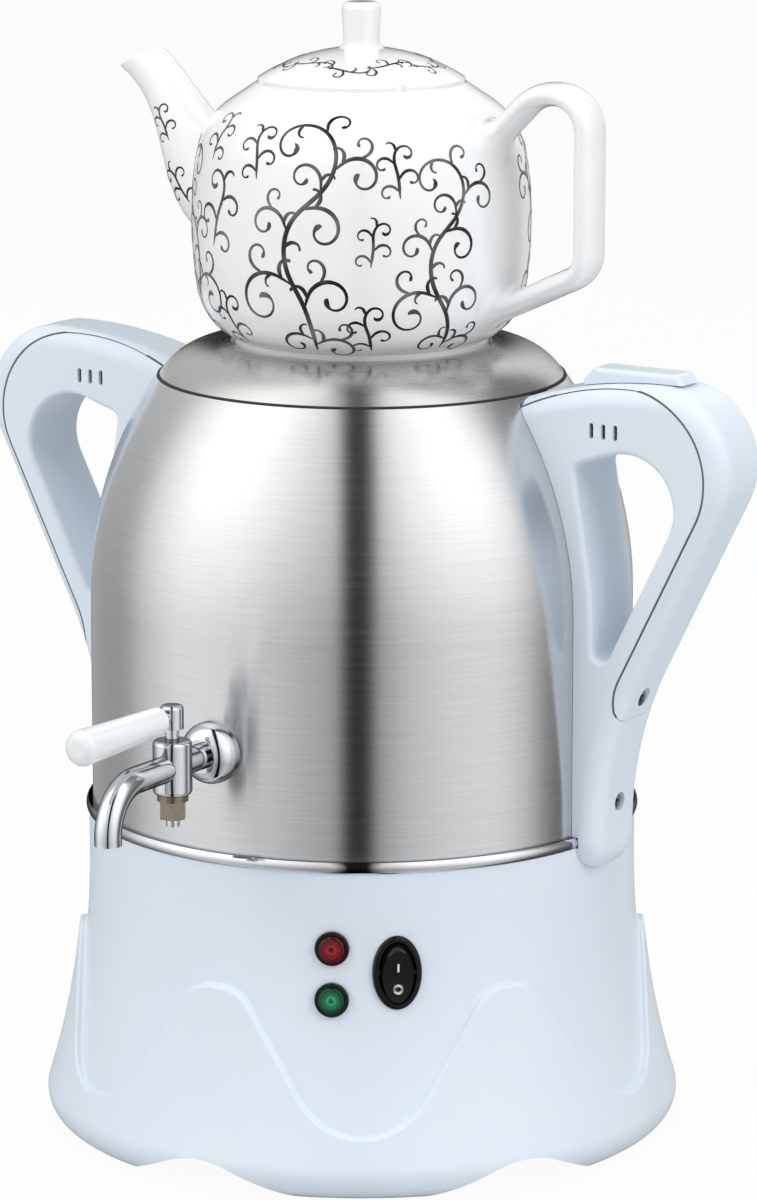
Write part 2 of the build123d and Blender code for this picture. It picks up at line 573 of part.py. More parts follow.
with BuildPart() as base_housing:
    with BuildSketch(Plane.XZ):
        with BuildLine():
            ThreePointArc(
                (bell(SKIRT_CROWN, SKIRT_STEP), SKIRT_CROWN),
                (bell(SKIRT_MIDDLE, SKIRT_STEP), SKIRT_MIDDLE),
                TOE_JOIN,
            )
            ThreePointArc(TOE_JOIN, TOE_MIDDLE, (TOE_CENTRE, FOOT_GAP))
            Polyline(
                (TOE_CENTRE, FOOT_GAP),
                (LOWER_BORE, FOOT_GAP),
                (LOWER_BORE, RIB_TOP),
                (bell(RIB_TOP, -BASE_WALL), RIB_TOP),
            )
            ThreePointArc(
                (bell(RIB_TOP, -BASE_WALL), RIB_TOP),
                (bell(SKIRT_MIDDLE, -BASE_WALL), SKIRT_MIDDLE),
                (bell(SKIRT_CROWN, -BASE_WALL), SKIRT_CROWN),
            )
            Line(
                (bell(SKIRT_CROWN, -BASE_WALL), SKIRT_CROWN),
                (bell(SKIRT_CROWN, SKIRT_STEP), SKIRT_CROWN),
            )
        make_face()
    revolve(axis=Axis.Z)
    for azimuth in FOOT_AZIMUTHS:
        with BuildSketch(radial_plane(azimuth, BASE_TOP_RADIUS - CUTTER_REACH / 2)):
            with BuildLine():
                for side in (1, -1):
                    peak = (side * WAVE_HALF, WAVE_PEAK)
                    s_curve((0, WAVE_TROUGH), peak, WAVE_TROUGH_BEND, WAVE_PEAK_BEND)
                Polyline(
                    (WAVE_HALF, WAVE_PEAK),
                    (WAVE_END, WAVE_PEAK),
                    (WAVE_END, WAVE_PEAK + CUTTER_REACH),
                    (-WAVE_END, WAVE_PEAK + CUTTER_REACH),
                    (-WAVE_END, WAVE_PEAK),
                    (-WAVE_HALF, WAVE_PEAK),
                )
            make_face()
        extrude(amount=CUTTER_REACH, mode=Mode.SUBTRACT)
    with BuildSketch(Plane.XZ):
        with BuildLine():
            Line((BASE_TOP_RADIUS, BASE_HEIGHT), (BASE_TOP_RADIUS, BELL_START))
            ThreePointArc(
                (BASE_TOP_RADIUS, BELL_START),
                (bell(CAVITY_MIDDLE), CAVITY_MIDDLE),
                (bell(TOE_JOIN[1]), TOE_JOIN[1]),
            )
            Polyline(
                (bell(TOE_JOIN[1]), TOE_JOIN[1]),
                (LOWER_BORE, TOE_JOIN[1]),
                (LOWER_BORE, PLATE_TOP),
                (LOWER_BORE - SEAT_RIB_WIDTH, PLATE_TOP),
                (LOWER_BORE - SEAT_RIB_WIDTH, RIB_TOP),
                (bell(RIB_TOP, -BASE_WALL), RIB_TOP),
            )
            ThreePointArc(
                (bell(RIB_TOP, -BASE_WALL), RIB_TOP),
                (bell(CAVITY_MIDDLE, -BASE_WALL), CAVITY_MIDDLE),
                (BASE_TOP_RADIUS - BASE_WALL, BELL_START),
            )
            Polyline(
                (BASE_TOP_RADIUS - BASE_WALL, BELL_START),
                (BASE_TOP_RADIUS - BASE_WALL, FLANGE_BOTTOM),
                (TOP_FLANGE_INNER, FLANGE_BOTTOM),
                (TOP_FLANGE_INNER, BASE_HEIGHT),
                (BASE_TOP_RADIUS, BASE_HEIGHT),
            )
        make_face()
    revolve(axis=Axis.Z)
    fillet(ledge_edges(base_housing.part, SKIRT_STEP), LEDGE_ROUND)
    fillet(ledge_edges(base_housing.part, 0.0), LEDGE_ROUND)
    for azimuth in ARCH_AZIMUTHS:
        with BuildSketch(radial_plane(azimuth, BASE_TOP_RADIUS - CUTTER_REACH / 2)):
            with BuildLine():
                foot_level = FOOT_GAP - SNUG
                for side in (1, -1):
                    s_curve((side * ARCH_HALF, foot_level), (0, ARCH_TOP), FOOT_BEND, ARCH_BEND)
                Polyline(
                    (ARCH_HALF, foot_level),
                    (ARCH_HALF, -FOOT_BEND),
                    (-ARCH_HALF, -FOOT_BEND),
                    (-ARCH_HALF, foot_level),
                )
            make_face()
        extrude(amount=CUTTER_REACH, mode=Mode.SUBTRACT)
    rib_end = bell(PLATE_TOP + PILLAR_HEIGHT, -BASE_WALL / 2)
    with BuildSketch(Plane.XY.offset(PLATE_TOP)):
        with PolarLocations(PILLAR_CIRCLE, PILLAR_COUNT, start_angle=-90):
            Circle(PILLAR_RADIUS)
        with PolarLocations((PILLAR_CIRCLE + rib_end) / 2, PILLAR_COUNT, start_angle=-90):
            Rectangle(rib_end - PILLAR_CIRCLE, PILLAR_RIB)
    extrude(amount=PILLAR_HEIGHT)
    with BuildSketch(Plane.XY.offset(PLATE_TOP)):
        with PolarLocations(PILLAR_CIRCLE, PILLAR_COUNT, start_angle=-90):
            Circle(COVER_SCREW_RADIUS + SNUG)
    extrude(amount=COVER_SCREW_LENGTH, mode=Mode.SUBTRACT)
    with BuildSketch(Plane.XY.offset(FLANGE_BOTTOM)):
        with PolarLocations(STUD_CIRCLE, STUD_COUNT, start_angle=STUD_START):
            Circle(STUD_RADIUS + RUNNING)
    extrude(amount=TOP_FLANGE, mode=Mode.SUBTRACT)
    for height in (LAMP_RED_HEIGHT, LAMP_GREEN_HEIGHT):
        seat = wall_plane(LAMP_AZIMUTH, height).offset(-LAMP_SEAT)
        with BuildSketch(seat):
            Circle(LAMP_RADIUS + SNUG)
        extrude(amount=TOE_RADIUS, mode=Mode.SUBTRACT)
        with BuildSketch(seat):
            Circle(LAMP_BARREL_RADIUS + SNUG)
        extrude(amount=-LAMP_BARREL_LENGTH, mode=Mode.SUBTRACT)
    with BuildSketch(SWITCH_PLANE):
        Ellipse(SWITCH_WIDTH / 2 + SNUG, SWITCH_LENGTH / 2 + SNUG)
    extrude(amount=TOE_RADIUS, mode=Mode.SUBTRACT)
    with BuildSketch(SWITCH_PLANE):
        Ellipse(SWITCH_WIDTH / 2 - SWITCH_LIP + SNUG, SWITCH_LENGTH / 2 - SWITCH_LIP + SNUG)
    extrude(amount=-SWITCH_BODY_DEPTH, mode=Mode.SUBTRACT)
    with BuildSketch(INLET_PLANE):
        RectangleRounded(INLET_WIDTH + 2 * SNUG, INLET_LENGTH + 2 * SNUG, INLET_CORNER)
    extrude(amount=TOE_RADIUS, mode=Mode.SUBTRACT)
    with BuildSketch(INLET_PLANE):
        Rectangle(INLET_BODY_WIDTH + 2 * SNUG, INLET_BODY_LENGTH + 2 * SNUG)
    extrude(amount=-INLET_BODY_DEPTH, mode=Mode.SUBTRACT)

# Bottom cover with its legs, vents and screw holes
with BuildPart() as base_plate:
    with BuildSketch(Plane.XY.offset(PLATE_BOTTOM)):
        Circle(PLATE_RADIUS)
        with PolarLocations(VENT_CIRCLE, VENT_COUNT):
            SlotOverall(VENT_LENGTH, VENT_WIDTH, mode=Mode.SUBTRACT)
    extrude(amount=PLATE_THICKNESS)
    with BuildSketch(Plane.XY.offset(PAD_HEIGHT - PAD_RECESS)):
        with PolarLocations(LEG_CIRCLE, FOOT_COUNT, start_angle=PANEL_AZIMUTH - 90):
            Circle(LEG_RADIUS)
    extrude(amount=PLATE_BOTTOM - PAD_HEIGHT + PAD_RECESS)
    with BuildSketch(Plane.XY.offset(PAD_HEIGHT - PAD_RECESS)):
        with PolarLocations(LEG_CIRCLE, FOOT_COUNT, start_angle=PANEL_AZIMUTH - 90):
            Circle(PAD_RADIUS + SNUG)
    extrude(amount=PAD_RECESS, mode=Mode.SUBTRACT)
    with BuildSketch(Plane.XY.offset(PLATE_BOTTOM)):
        with PolarLocations(PILLAR_CIRCLE, PILLAR_COUNT, start_angle=-90):
            Circle(COVER_SCREW_RADIUS + RUNNING)
    extrude(amount=PLATE_THICKNESS, mode=Mode.SUBTRACT)

# Rubber pads in the legs
with BuildPart() as rubber_feet:
    with BuildSketch():
        with PolarLocations(LEG_CIRCLE, FOOT_COUNT, start_angle=PANEL_AZIMUTH - 90):
            Circle(PAD_RADIUS)
    extrude(amount=PAD_HEIGHT)
    chamfer(rubber_feet.edges().group_by(Axis.Z)[0], PAD_HEIGHT / 5)

# Screws that hold the bottom cover
with BuildPart() as base_screws:
    with BuildSketch(Plane.XY.offset(PLATE_BOTTOM - COVER_SCREW_HEAD_HEIGHT)):
        with PolarLocations(PILLAR_CIRCLE, PILLAR_COUNT, start_angle=-90):
            Circle(COVER_SCREW_HEAD_RADIUS)
    extrude(amount=COVER_SCREW_HEAD_HEIGHT)
    with BuildSketch(Plane.XY.offset(PLATE_BOTTOM)):
        with PolarLocations(PILLAR_CIRCLE, PILLAR_COUNT, start_angle=-90):
            Circle(COVER_SCREW_RADIUS)
    extrude(amount=COVER_SCREW_LENGTH)

# Chrome band that the vessel stands in
with BuildPart() as trim_ring:
    with BuildSketch(Plane.XZ):
        with BuildLine():
            Polyline(
                (TRIM_RADIUS, TRIM_TOP),
                (VESSEL_RADIUS, TRIM_TOP),
                (VESSEL_RADIUS, VESSEL_BOTTOM),
                (VESSEL_RADIUS - TRIM_FLANGE_WIDTH, VESSEL_BOTTOM),
                (VESSEL_RADIUS - TRIM_FLANGE_WIDTH, BASE_HEIGHT),
                (TRIM_RADIUS, BASE_HEIGHT),
            )
            ThreePointArc(
                (TRIM_RADIUS, BASE_HEIGHT),
                (TRIM_RADIUS + TRIM_BULGE, BASE_HEIGHT + TRIM_HEIGHT / 2),
                (TRIM_RADIUS, TRIM_TOP),
            )
        make_face()
    revolve(axis=Axis.Z)

# Vessel: wall and shoulder, with a folded seat for the lid
with BuildPart() as vessel_shell:
    with BuildSketch(Plane.XZ):
        inner_radius = SHOULDER_RADIUS - SHEET
        inner_mouth = SHOULDER_START + sqrt(inner_radius**2 - (MOUTH_RADIUS - SHOULDER_CENTRE) ** 2)
        middle = radians(SHOULDER_MIDDLE)
        with BuildLine():
            Line((VESSEL_RADIUS, VESSEL_BOTTOM), (VESSEL_RADIUS, SHOULDER_START))
            ThreePointArc(
                (VESSEL_RADIUS, SHOULDER_START),
                (
                    SHOULDER_CENTRE + SHOULDER_RADIUS * cos(middle),
                    SHOULDER_START + SHOULDER_RADIUS * sin(middle),
                ),
                (MOUTH_RADIUS, MOUTH_HEIGHT),
            )
            Line((MOUTH_RADIUS, MOUTH_HEIGHT), (MOUTH_RADIUS, inner_mouth))
            ThreePointArc(
                (MOUTH_RADIUS, inner_mouth),
                (
                    SHOULDER_CENTRE + inner_radius * cos(middle),
                    SHOULDER_START + inner_radius * sin(middle),
                ),
                (VESSEL_RADIUS - SHEET, SHOULDER_START),
            )
            Polyline(
                (VESSEL_RADIUS - SHEET, SHOULDER_START),
                (VESSEL_RADIUS - SHEET, VESSEL_BOTTOM),
                (VESSEL_RADIUS, VESSEL_BOTTOM),
            )
        make_face()
        with BuildLine():
            fold_top = SHOULDER_START + sqrt(
                (SHOULDER_RADIUS - SHEET / 2) ** 2 - (MOUTH_RADIUS + SHEET - SHOULDER_CENTRE) ** 2
            )
            Polyline(
                (MOUTH_RADIUS, MOUTH_HEIGHT - SHEET / 2),
                (MOUTH_RADIUS, SEAT_HEIGHT),
                (SEAT_INNER, SEAT_HEIGHT),
                (SEAT_INNER, SEAT_HEIGHT - SEAT_LIP),
                (SEAT_INNER + SHEET, SEAT_HEIGHT - SEAT_LIP),
                (SEAT_INNER + SHEET, SEAT_HEIGHT - SHEET),
                (MOUTH_RADIUS + SHEET, SEAT_HEIGHT - SHEET),
                (MOUTH_RADIUS + SHEET, fold_top),
                close=True,
            )
        make_face()
    revolve(axis=Axis.Z)
    with BuildSketch(radial_plane(0, 0, TAP_HEIGHT)):
        Circle(TAP_STEM_RADIUS + SNUG)
    extrude(amount=VESSEL_RADIUS + SHEET, mode=Mode.SUBTRACT)
    with BuildSketch(Plane.XY.offset(COLLAR_TOP)):
        with Locations((HANDLE_TIP_RADIUS, 0)):
            Rectangle(2 * TONGUE_GAP + 2 * HANDLE_TIP_GAP + 2 * SHEET, TONGUE_WIDTH + 2 * SLIP)
    extrude(amount=SEAT_DEPTH, mode=Mode.SUBTRACT)

# Floor of the vessel, with a rim that stands on the chrome band
with BuildPart() as vessel_floor:
    with BuildSketch(Plane.XZ):
        with BuildLine():
            Polyline(
                (0, FLOOR_BOTTOM),
                (VESSEL_RADIUS - 2 * SHEET, FLOOR_BOTTOM),
                (VESSEL_RADIUS - 2 * SHEET, VESSEL_BOTTOM),
                (VESSEL_RADIUS - SHEET, VESSEL_BOTTOM),
                (VESSEL_RADIUS - SHEET, FLOOR_BOTTOM + SHEET),
                (0, FLOOR_BOTTOM + SHEET),
                close=True,
            )
        make_face()
    revolve(axis=Axis.Z)

# Aluminium plate under the floor, grooved for the heating element
with BuildPart() as heat_spreader:
    with BuildSketch(Plane.XY.offset(SPREADER_BOTTOM)):
        Circle(SPREADER_RADIUS)
    extrude(amount=SPREADER_THICKNESS)
    with BuildSketch(Plane.XZ):
        with Locations((ELEMENT_CIRCLE, SPREADER_BOTTOM)):
            Circle(ELEMENT_RADIUS)
    revolve(axis=Axis.Z, mode=Mode.SUBTRACT)

# Sheathed ring element with two tails
with BuildPart() as heating_element:
    with BuildSketch(Plane.XZ):
        with Locations((ELEMENT_CIRCLE, SPREADER_BOTTOM)):
            Circle(ELEMENT_RADIUS)
    revolve(axis=Axis.Z, revolution_arc=360 - ELEMENT_GAP_ANGLE)
    with Locations(*ELEMENT_ENDS):
        Cylinder(ELEMENT_TAIL_RADIUS, ELEMENT_TAIL, align=(Align.CENTER, Align.CENTER, Align.MAX))


def thermostat(reach):
    """Snap-disc thermostat under the heat spreader, with its ears and two blades."""
    with BuildPart() as thermostat_part:
        with BuildSketch(Plane.XY.offset(SPREADER_BOTTOM)):
            with Locations((reach, 0)):
                SlotOverall(2 * THERMOSTAT_EAR, THERMOSTAT_EAR_WIDTH, rotation=90)
        extrude(amount=-SHEET)
        with BuildSketch(Plane.XY.offset(SPREADER_BOTTOM)):
            with Locations((reach, 0)):
                Circle(THERMOSTAT_RADIUS)
        extrude(amount=-THERMOSTAT_HEIGHT)
        with BuildSketch(Plane.XY.offset(SPREADER_BOTTOM - THERMOSTAT_HEIGHT)):
            with Locations((reach, 0)):
                with GridLocations(0, THERMOSTAT_RADIUS, 1, 2):
                    Rectangle(TAB_WIDTH, TAB_THICKNESS)
        extrude(amount=-TAB_LENGTH)
    return thermostat_part.part


# Thermal fuse strapped to the heat spreader
with BuildPart() as thermal_fuse:
    fuse_height = SPREADER_BOTTOM - FUSE_RADIUS
    with BuildSketch(Plane.YZ.offset(-FUSE_LENGTH / 2)):
        with Locations((FUSE_OFFSET, fuse_height)):
            Circle(FUSE_RADIUS)
    extrude(amount=FUSE_LENGTH)
    with BuildSketch(Plane.YZ.offset(-FUSE_LENGTH / 2 - TAB_LENGTH)):
        with Locations((FUSE_OFFSET, fuse_height)):
            Circle(TAB_THICKNESS)
    extrude(amount=FUSE_LENGTH + 2 * TAB_LENGTH)

# Studs welded under the floor, and the nuts that pull it down on the base
with BuildPart() as mounting_studs:
    with BuildSketch(Plane.XY.offset(FLOOR_BOTTOM)):
        with PolarLocations(STUD_CIRCLE, STUD_COUNT, start_angle=STUD_START):
            Circle(STUD_RADIUS)
    extrude(amount=-(FLOOR_BOTTOM - FLANGE_BOTTOM + STUD_TAIL))
with BuildPart() as stud_nuts:
    with BuildSketch(Plane.XY.offset(FLANGE_BOTTOM)):
        with PolarLocations(STUD_CIRCLE, STUD_COUNT, start_angle=STUD_START):
            RegularPolygon(NUT_RADIUS, 6)
            Circle(STUD_RADIUS + SNUG, mode=Mode.SUBTRACT)
    extrude(amount=-NUT_HEIGHT)

# Ceramic terminal block on the bottom cover
with BuildPart() as terminal_block:
    with BuildSketch(Plane.XY.offset(PLATE_TOP)):
        RectangleRounded(BLOCK_LENGTH, BLOCK_WIDTH, POLE_RADIUS)
    extrude(amount=BLOCK_HEIGHT)
    with BuildSketch(Plane.XY.offset(PLATE_TOP + BLOCK_HEIGHT)):
        with GridLocations(POLE_PITCH, 2 * POLE_RADIUS + WIRE_RADIUS, BLOCK_POLES, 2):
            Circle(POLE_RADIUS)
    extrude(amount=-POLE_DEPTH, mode=Mode.SUBTRACT)

# Power inlet in the back of the base, and its pins
with BuildPart() as power_inlet:
    with BuildSketch(INLET_PLANE):
        RectangleRounded(INLET_WIDTH, INLET_LENGTH, INLET_CORNER)
    extrude(amount=INLET_FLANGE)
    with BuildSketch(INLET_PLANE):
        Rectangle(INLET_BODY_WIDTH, INLET_BODY_LENGTH)
    extrude(amount=-INLET_BODY_DEPTH)
    with BuildSketch(INLET_PLANE.offset(INLET_FLANGE)):
        RectangleRounded(INLET_BODY_WIDTH - 2 * INLET_WALL, INLET_BODY_LENGTH - 2 * INLET_WALL, INLET_WALL)
    extrude(amount=-(INLET_FLANGE + INLET_BODY_DEPTH - INLET_FLOOR), mode=Mode.SUBTRACT)
    with BuildSketch(INLET_PLANE.offset(-INLET_BODY_DEPTH)):
        with Locations(*PIN_PLACES):
            Rectangle(PIN_WIDTH + 2 * SNUG, PIN_LENGTH + 2 * SNUG)
    extrude(amount=INLET_FLOOR, mode=Mode.SUBTRACT)
with BuildPart() as inlet_pins:
    with BuildSketch(INLET_PLANE.offset(-INLET_BODY_DEPTH - TAB_LENGTH)):
        with Locations(*PIN_PLACES):
            Rectangle(PIN_WIDTH, PIN_LENGTH)
    extrude(amount=TAB_LENGTH + INLET_FLOOR + PIN_REACH)


def lamp(height):
    """Pilot lamp at a height on the base: a bezel with its barrel, and the lens in it."""
    seat = wall_plane(LAMP_AZIMUTH, height).offset(-LAMP_SEAT)
    lens_depth = LAMP_BEZEL_HEIGHT - LAMP_SEAT
    with BuildPart() as bezel:
        with BuildSketch(seat):
            Circle(LAMP_RADIUS)
        extrude(amount=LAMP_BEZEL_HEIGHT)
        chamfer(front_edges(bezel.part, seat), LAMP_SEAT)
        with BuildSketch(seat):
            Circle(LAMP_BARREL_RADIUS)
        extrude(amount=-LAMP_BARREL_LENGTH)
        with BuildSketch(seat.offset(LAMP_BEZEL_HEIGHT)):
            Circle(LAMP_LENS_RADIUS + SNUG)
        extrude(amount=-lens_depth, mode=Mode.SUBTRACT)
    with BuildPart() as lens:
        with BuildSketch(seat.offset(LAMP_BEZEL_HEIGHT - lens_depth)):
            Circle(LAMP_LENS_RADIUS)
        extrude(amount=lens_depth + LAMP_LENS_DOME)
        fillet(front_edges(lens.part, seat), LAMP_LENS_DOME)
    return bezel.part, lens.part


# Oval rocker switch: frame with its barrel, blades, and the tilting rocker
with BuildPart() as switch_frame:
    with BuildSketch(SWITCH_PLANE):
        Ellipse(SWITCH_WIDTH / 2, SWITCH_LENGTH / 2)
    extrude(amount=SWITCH_BEZEL)
    fillet(front_edges(switch_frame.part, SWITCH_PLANE), SWITCH_ROUND)
    with BuildSketch(SWITCH_PLANE):
        Ellipse(SWITCH_WIDTH / 2 - SWITCH_LIP, SWITCH_LENGTH / 2 - SWITCH_LIP)
    extrude(amount=-SWITCH_BODY_DEPTH)
    with BuildSketch(SWITCH_PLANE.offset(-SWITCH_POCKET)):
        Ellipse(SWITCH_WIDTH / 2 - SWITCH_BEZEL_RIM, SWITCH_LENGTH / 2 - SWITCH_BEZEL_RIM)
    extrude(amount=SWITCH_POCKET + SWITCH_BEZEL, mode=Mode.SUBTRACT)
    with BuildSketch(HINGE_PLANE):
        Circle(TRUNNION_RADIUS + TRUNNION_FIT)
    extrude(amount=TRUNNION_REACH + TRUNNION_FIT, both=True, mode=Mode.SUBTRACT)
with BuildPart() as switch_tabs:
    with BuildSketch(SWITCH_PLANE.offset(-SWITCH_BODY_DEPTH)):
        with GridLocations(0, SWITCH_TAB_PITCH, 1, 2):
            Rectangle(TAB_WIDTH, TAB_THICKNESS)
    extrude(amount=-TAB_LENGTH)
with BuildPart() as switch_rocker:
    for rise in (0.0, ROCKER_HEIGHT):
        inset = SWITCH_BEZEL_RIM + ROCKER_GAP + rise * tan(radians(ROCKER_DRAFT))
        with BuildSketch(ROCKER_PLANE.offset(rise - ROCKER_KEEL)):
            Ellipse(SWITCH_WIDTH / 2 - inset, SWITCH_LENGTH / 2 - inset)
    loft()
    dish_height = ROCKER_HEIGHT - ROCKER_KEEL - ROCKER_DISH_DEPTH + ROCKER_DISH
    with BuildSketch(ROCKER_SIDE):
        with Locations((0, dish_height)):
            Circle(ROCKER_DISH)
    extrude(amount=SWITCH_WIDTH, both=True, mode=Mode.SUBTRACT)
    with BuildSketch(HINGE_PLANE):
        Circle(TRUNNION_RADIUS)
    extrude(amount=TRUNNION_REACH, both=True)

# Tap: rosette on the wall, body with barrel and spout, plug, lever, grip, nut and seal
with BuildPart() as tap_rosette:
    with BuildSketch(Plane.YZ):
        rosette_hole = TAP_HEIGHT + TAP_STEM_RADIUS + SNUG
        rosette_front = -VESSEL_RADIUS - ROSETTE_LENGTH
        rosette_back = -VESSEL_RADIUS + ROSETTE_LENGTH
        rosette_edge = -VESSEL_RADIUS - ROSETTE_EDGE
        dome_middle = (
            (rosette_front + rosette_edge) / 2 - ROSETTE_BULGE,
            TAP_HEIGHT + (ROSETTE_NECK + ROSETTE_RADIUS) / 2 + ROSETTE_BULGE,
        )
        with BuildLine():
            ThreePointArc(
                (rosette_front, TAP_HEIGHT + ROSETTE_NECK),
                dome_middle,
                (rosette_edge, TAP_HEIGHT + ROSETTE_RADIUS),
            )
            Polyline(
                (rosette_edge, TAP_HEIGHT + ROSETTE_RADIUS),
                (rosette_back, TAP_HEIGHT + ROSETTE_RADIUS),
                (rosette_back, rosette_hole),
                (rosette_front, rosette_hole),
                (rosette_front, TAP_HEIGHT + ROSETTE_NECK),
            )
        make_face()
    revolve(axis=TAP_AXIS)
    with BuildSketch(Plane.XY.offset(TAP_HEIGHT - 2 * ROSETTE_RADIUS)):
        Circle(VESSEL_RADIUS)
    extrude(amount=4 * ROSETTE_RADIUS, mode=Mode.SUBTRACT)
with BuildLine() as spout_path:
    FilletPolyline(
        (0, -TAP_REACH, TAP_HEIGHT),
        (0, -SPOUT_REACH, TAP_HEIGHT),
        (0, -SPOUT_REACH, TAP_HEIGHT - SPOUT_BEND - SPOUT_DROP),
        radius=SPOUT_BEND,
    )
with BuildPart() as tap_body:
    with BuildSketch(Plane.XY.offset(BARREL_BOTTOM)):
        with Locations((0, -TAP_REACH)):
            Circle(BARREL_RADIUS)
    extrude(amount=BARREL_HEIGHT)
    fillet(tap_body.edges().filter_by(GeomType.CIRCLE), BARREL_ROUND)
    with BuildSketch(radial_plane(0, STEM_END, TAP_HEIGHT)):
        Circle(TAP_STEM_RADIUS)
    extrude(amount=TAP_REACH - STEM_END)
    with BuildSketch(radial_plane(0, TAP_REACH, TAP_HEIGHT)):
        Circle(SPOUT_RADIUS)
    sweep(path=spout_path.line)
    with BuildSketch(radial_plane(0, STEM_END, TAP_HEIGHT)):
        Circle(TAP_BORE)
    extrude(amount=TAP_REACH - STEM_END, mode=Mode.SUBTRACT)
    with BuildSketch(radial_plane(0, TAP_REACH, TAP_HEIGHT)):
        Circle(TAP_BORE)
    sweep(path=spout_path.line, mode=Mode.SUBTRACT)
    with BuildSketch(Plane.YZ):
        with BuildLine():
            Polyline(
                (-TAP_REACH, BARREL_BOTTOM),
                (-TAP_REACH - PLUG_BOTTOM_RADIUS - PLUG_FIT, BARREL_BOTTOM),
                (-TAP_REACH - PLUG_TOP_RADIUS - PLUG_FIT, BARREL_TOP),
                (-TAP_REACH, BARREL_TOP),
                close=True,
            )
        make_face()
    revolve(axis=PLUG_AXIS, mode=Mode.SUBTRACT)
with BuildPart() as tap_plug:
    with BuildSketch(Plane.YZ):
        with BuildLine():
            Polyline(
                (-TAP_REACH, NUT_BOTTOM - TAP_TAIL_END),
                (-TAP_REACH - TAP_TAIL_RADIUS, NUT_BOTTOM - TAP_TAIL_END),
                (-TAP_REACH - TAP_TAIL_RADIUS, BARREL_BOTTOM),
                (-TAP_REACH - PLUG_BOTTOM_RADIUS, BARREL_BOTTOM),
                (-TAP_REACH - PLUG_TOP_RADIUS, BARREL_TOP),
                (-TAP_REACH - SPINDLE_RADIUS, BARREL_TOP),
                (-TAP_REACH - SPINDLE_RADIUS, SPINDLE_TOP),
                (-TAP_REACH, SPINDLE_TOP),
                close=True,
            )
        make_face()
    revolve(axis=PLUG_AXIS)
    with BuildSketch(Plane.YZ):
        with Locations((-TAP_REACH, TAP_HEIGHT)):
            Circle(TAP_BORE)
    extrude(amount=BARREL_RADIUS, both=True, mode=Mode.SUBTRACT)
with BuildPart() as tap_lever:
    with BuildSketch(Plane.XY.offset(LEVER_HEAD_BOTTOM)):
        with Locations((0, -TAP_REACH)):
            Circle(LEVER_HEAD_RADIUS)
    extrude(amount=LEVER_HEAD_DROP + LEVER_HEAD_RISE)
    fillet(tap_lever.edges().filter_by(GeomType.CIRCLE).sort_by(Axis.Z)[-1], LEVER_HEAD_ROUND)
    with BuildSketch(radial_plane(0, TAP_REACH, LEVER_HEIGHT)):
        Circle(LEVER_ROD_RADIUS)
    extrude(amount=LEVER_ROD_LENGTH)
    with BuildSketch(Plane.XY.offset(LEVER_HEAD_BOTTOM)):
        with Locations((0, -TAP_REACH)):
            Circle(SPINDLE_RADIUS + SNUG)
    extrude(amount=SPINDLE_SEAT + SNUG, mode=Mode.SUBTRACT)
with BuildPart() as tap_grip:
    with BuildSketch(Plane.YZ):
        grip_start = -TAP_REACH - GRIP_START
        rod_end = -TAP_REACH - LEVER_ROD_LENGTH - SNUG
        rod_hole = LEVER_HEIGHT + LEVER_ROD_RADIUS + SNUG
        with BuildLine():
            Polyline(
                (grip_start, rod_hole),
                (grip_start, LEVER_HEIGHT + GRIP_ROOT_RADIUS),
                (grip_start - GRIP_LENGTH, LEVER_HEIGHT + GRIP_END_RADIUS),
                (grip_start - GRIP_LENGTH, LEVER_HEIGHT),
                (rod_end, LEVER_HEIGHT),
                (rod_end, rod_hole),
                close=True,
            )
        make_face()
    revolve(axis=LEVER_AXIS)
    grip_rings = tap_grip.edges().filter_by(GeomType.CIRCLE).sort_by(Axis.Y)
    fillet(grip_rings[0], GRIP_END_ROUND)
    root_rings = tap_grip.edges().filter_by(GeomType.CIRCLE).group_by(Axis.Y)[-1]
    fillet(root_rings.sort_by(SortBy.LENGTH)[-1], GRIP_ROOT_ROUND)
with BuildPart() as tap_washer:
    with BuildSketch(Plane.XY.offset(BARREL_BOTTOM - SNUG)):
        with Locations((0, -TAP_REACH)):
            Circle(NUT_WASHER_RADIUS)
            Circle(TAP_TAIL_RADIUS + SNUG, mode=Mode.SUBTRACT)
    extrude(amount=-NUT_WASHER_HEIGHT)
with BuildPart() as tap_nut:
    with BuildSketch(Plane.XY.offset(NUT_BOTTOM)):
        with Locations((0, -TAP_REACH)):
            RegularPolygon(TAP_NUT_RADIUS, 6)
            Circle(TAP_TAIL_RADIUS + SNUG, mode=Mode.SUBTRACT)
    extrude(amount=TAP_NUT_HEIGHT)
with BuildPart() as tap_back_nut:
    with BuildSketch(radial_plane(0, SEAL_FACE, TAP_HEIGHT)):
        RegularPolygon(BACK_NUT_RADIUS, 6)
        Circle(TAP_STEM_RADIUS + SNUG, mode=Mode.SUBTRACT)
    extrude(amount=-BACK_NUT_HEIGHT)
with BuildPart() as tap_seal:
    with BuildSketch(radial_plane(0, SEAL_FACE, TAP_HEIGHT)):
        Circle(TAP_SEAL_RADIUS)
        Circle(TAP_STEM_RADIUS + SNUG, mode=Mode.SUBTRACT)
    extrude(amount=2 * TAP_SEAL)
    with BuildSketch(Plane.XY.offset(TAP_HEIGHT - 2 * TAP_SEAL_RADIUS)):
        Circle(VESSEL_RADIUS - SHEET)
    extrude(amount=4 * TAP_SEAL_RADIUS, mode=Mode.INTERSECT)


def handle_crown(apex, crown_bend, grip_bend):
    """Draw a handle's top: an arc inwards from its apex and a bend outwards, and return both."""
    reach = degrees(asin((apex[0] - HANDLE_INNER) / crown_bend))
    crown = JernArc(apex, (-1, 0), crown_bend, reach)
    bend = JernArc(apex, (1, 0), grip_bend, -90 - HANDLE_LEAN)
    return crown, bend


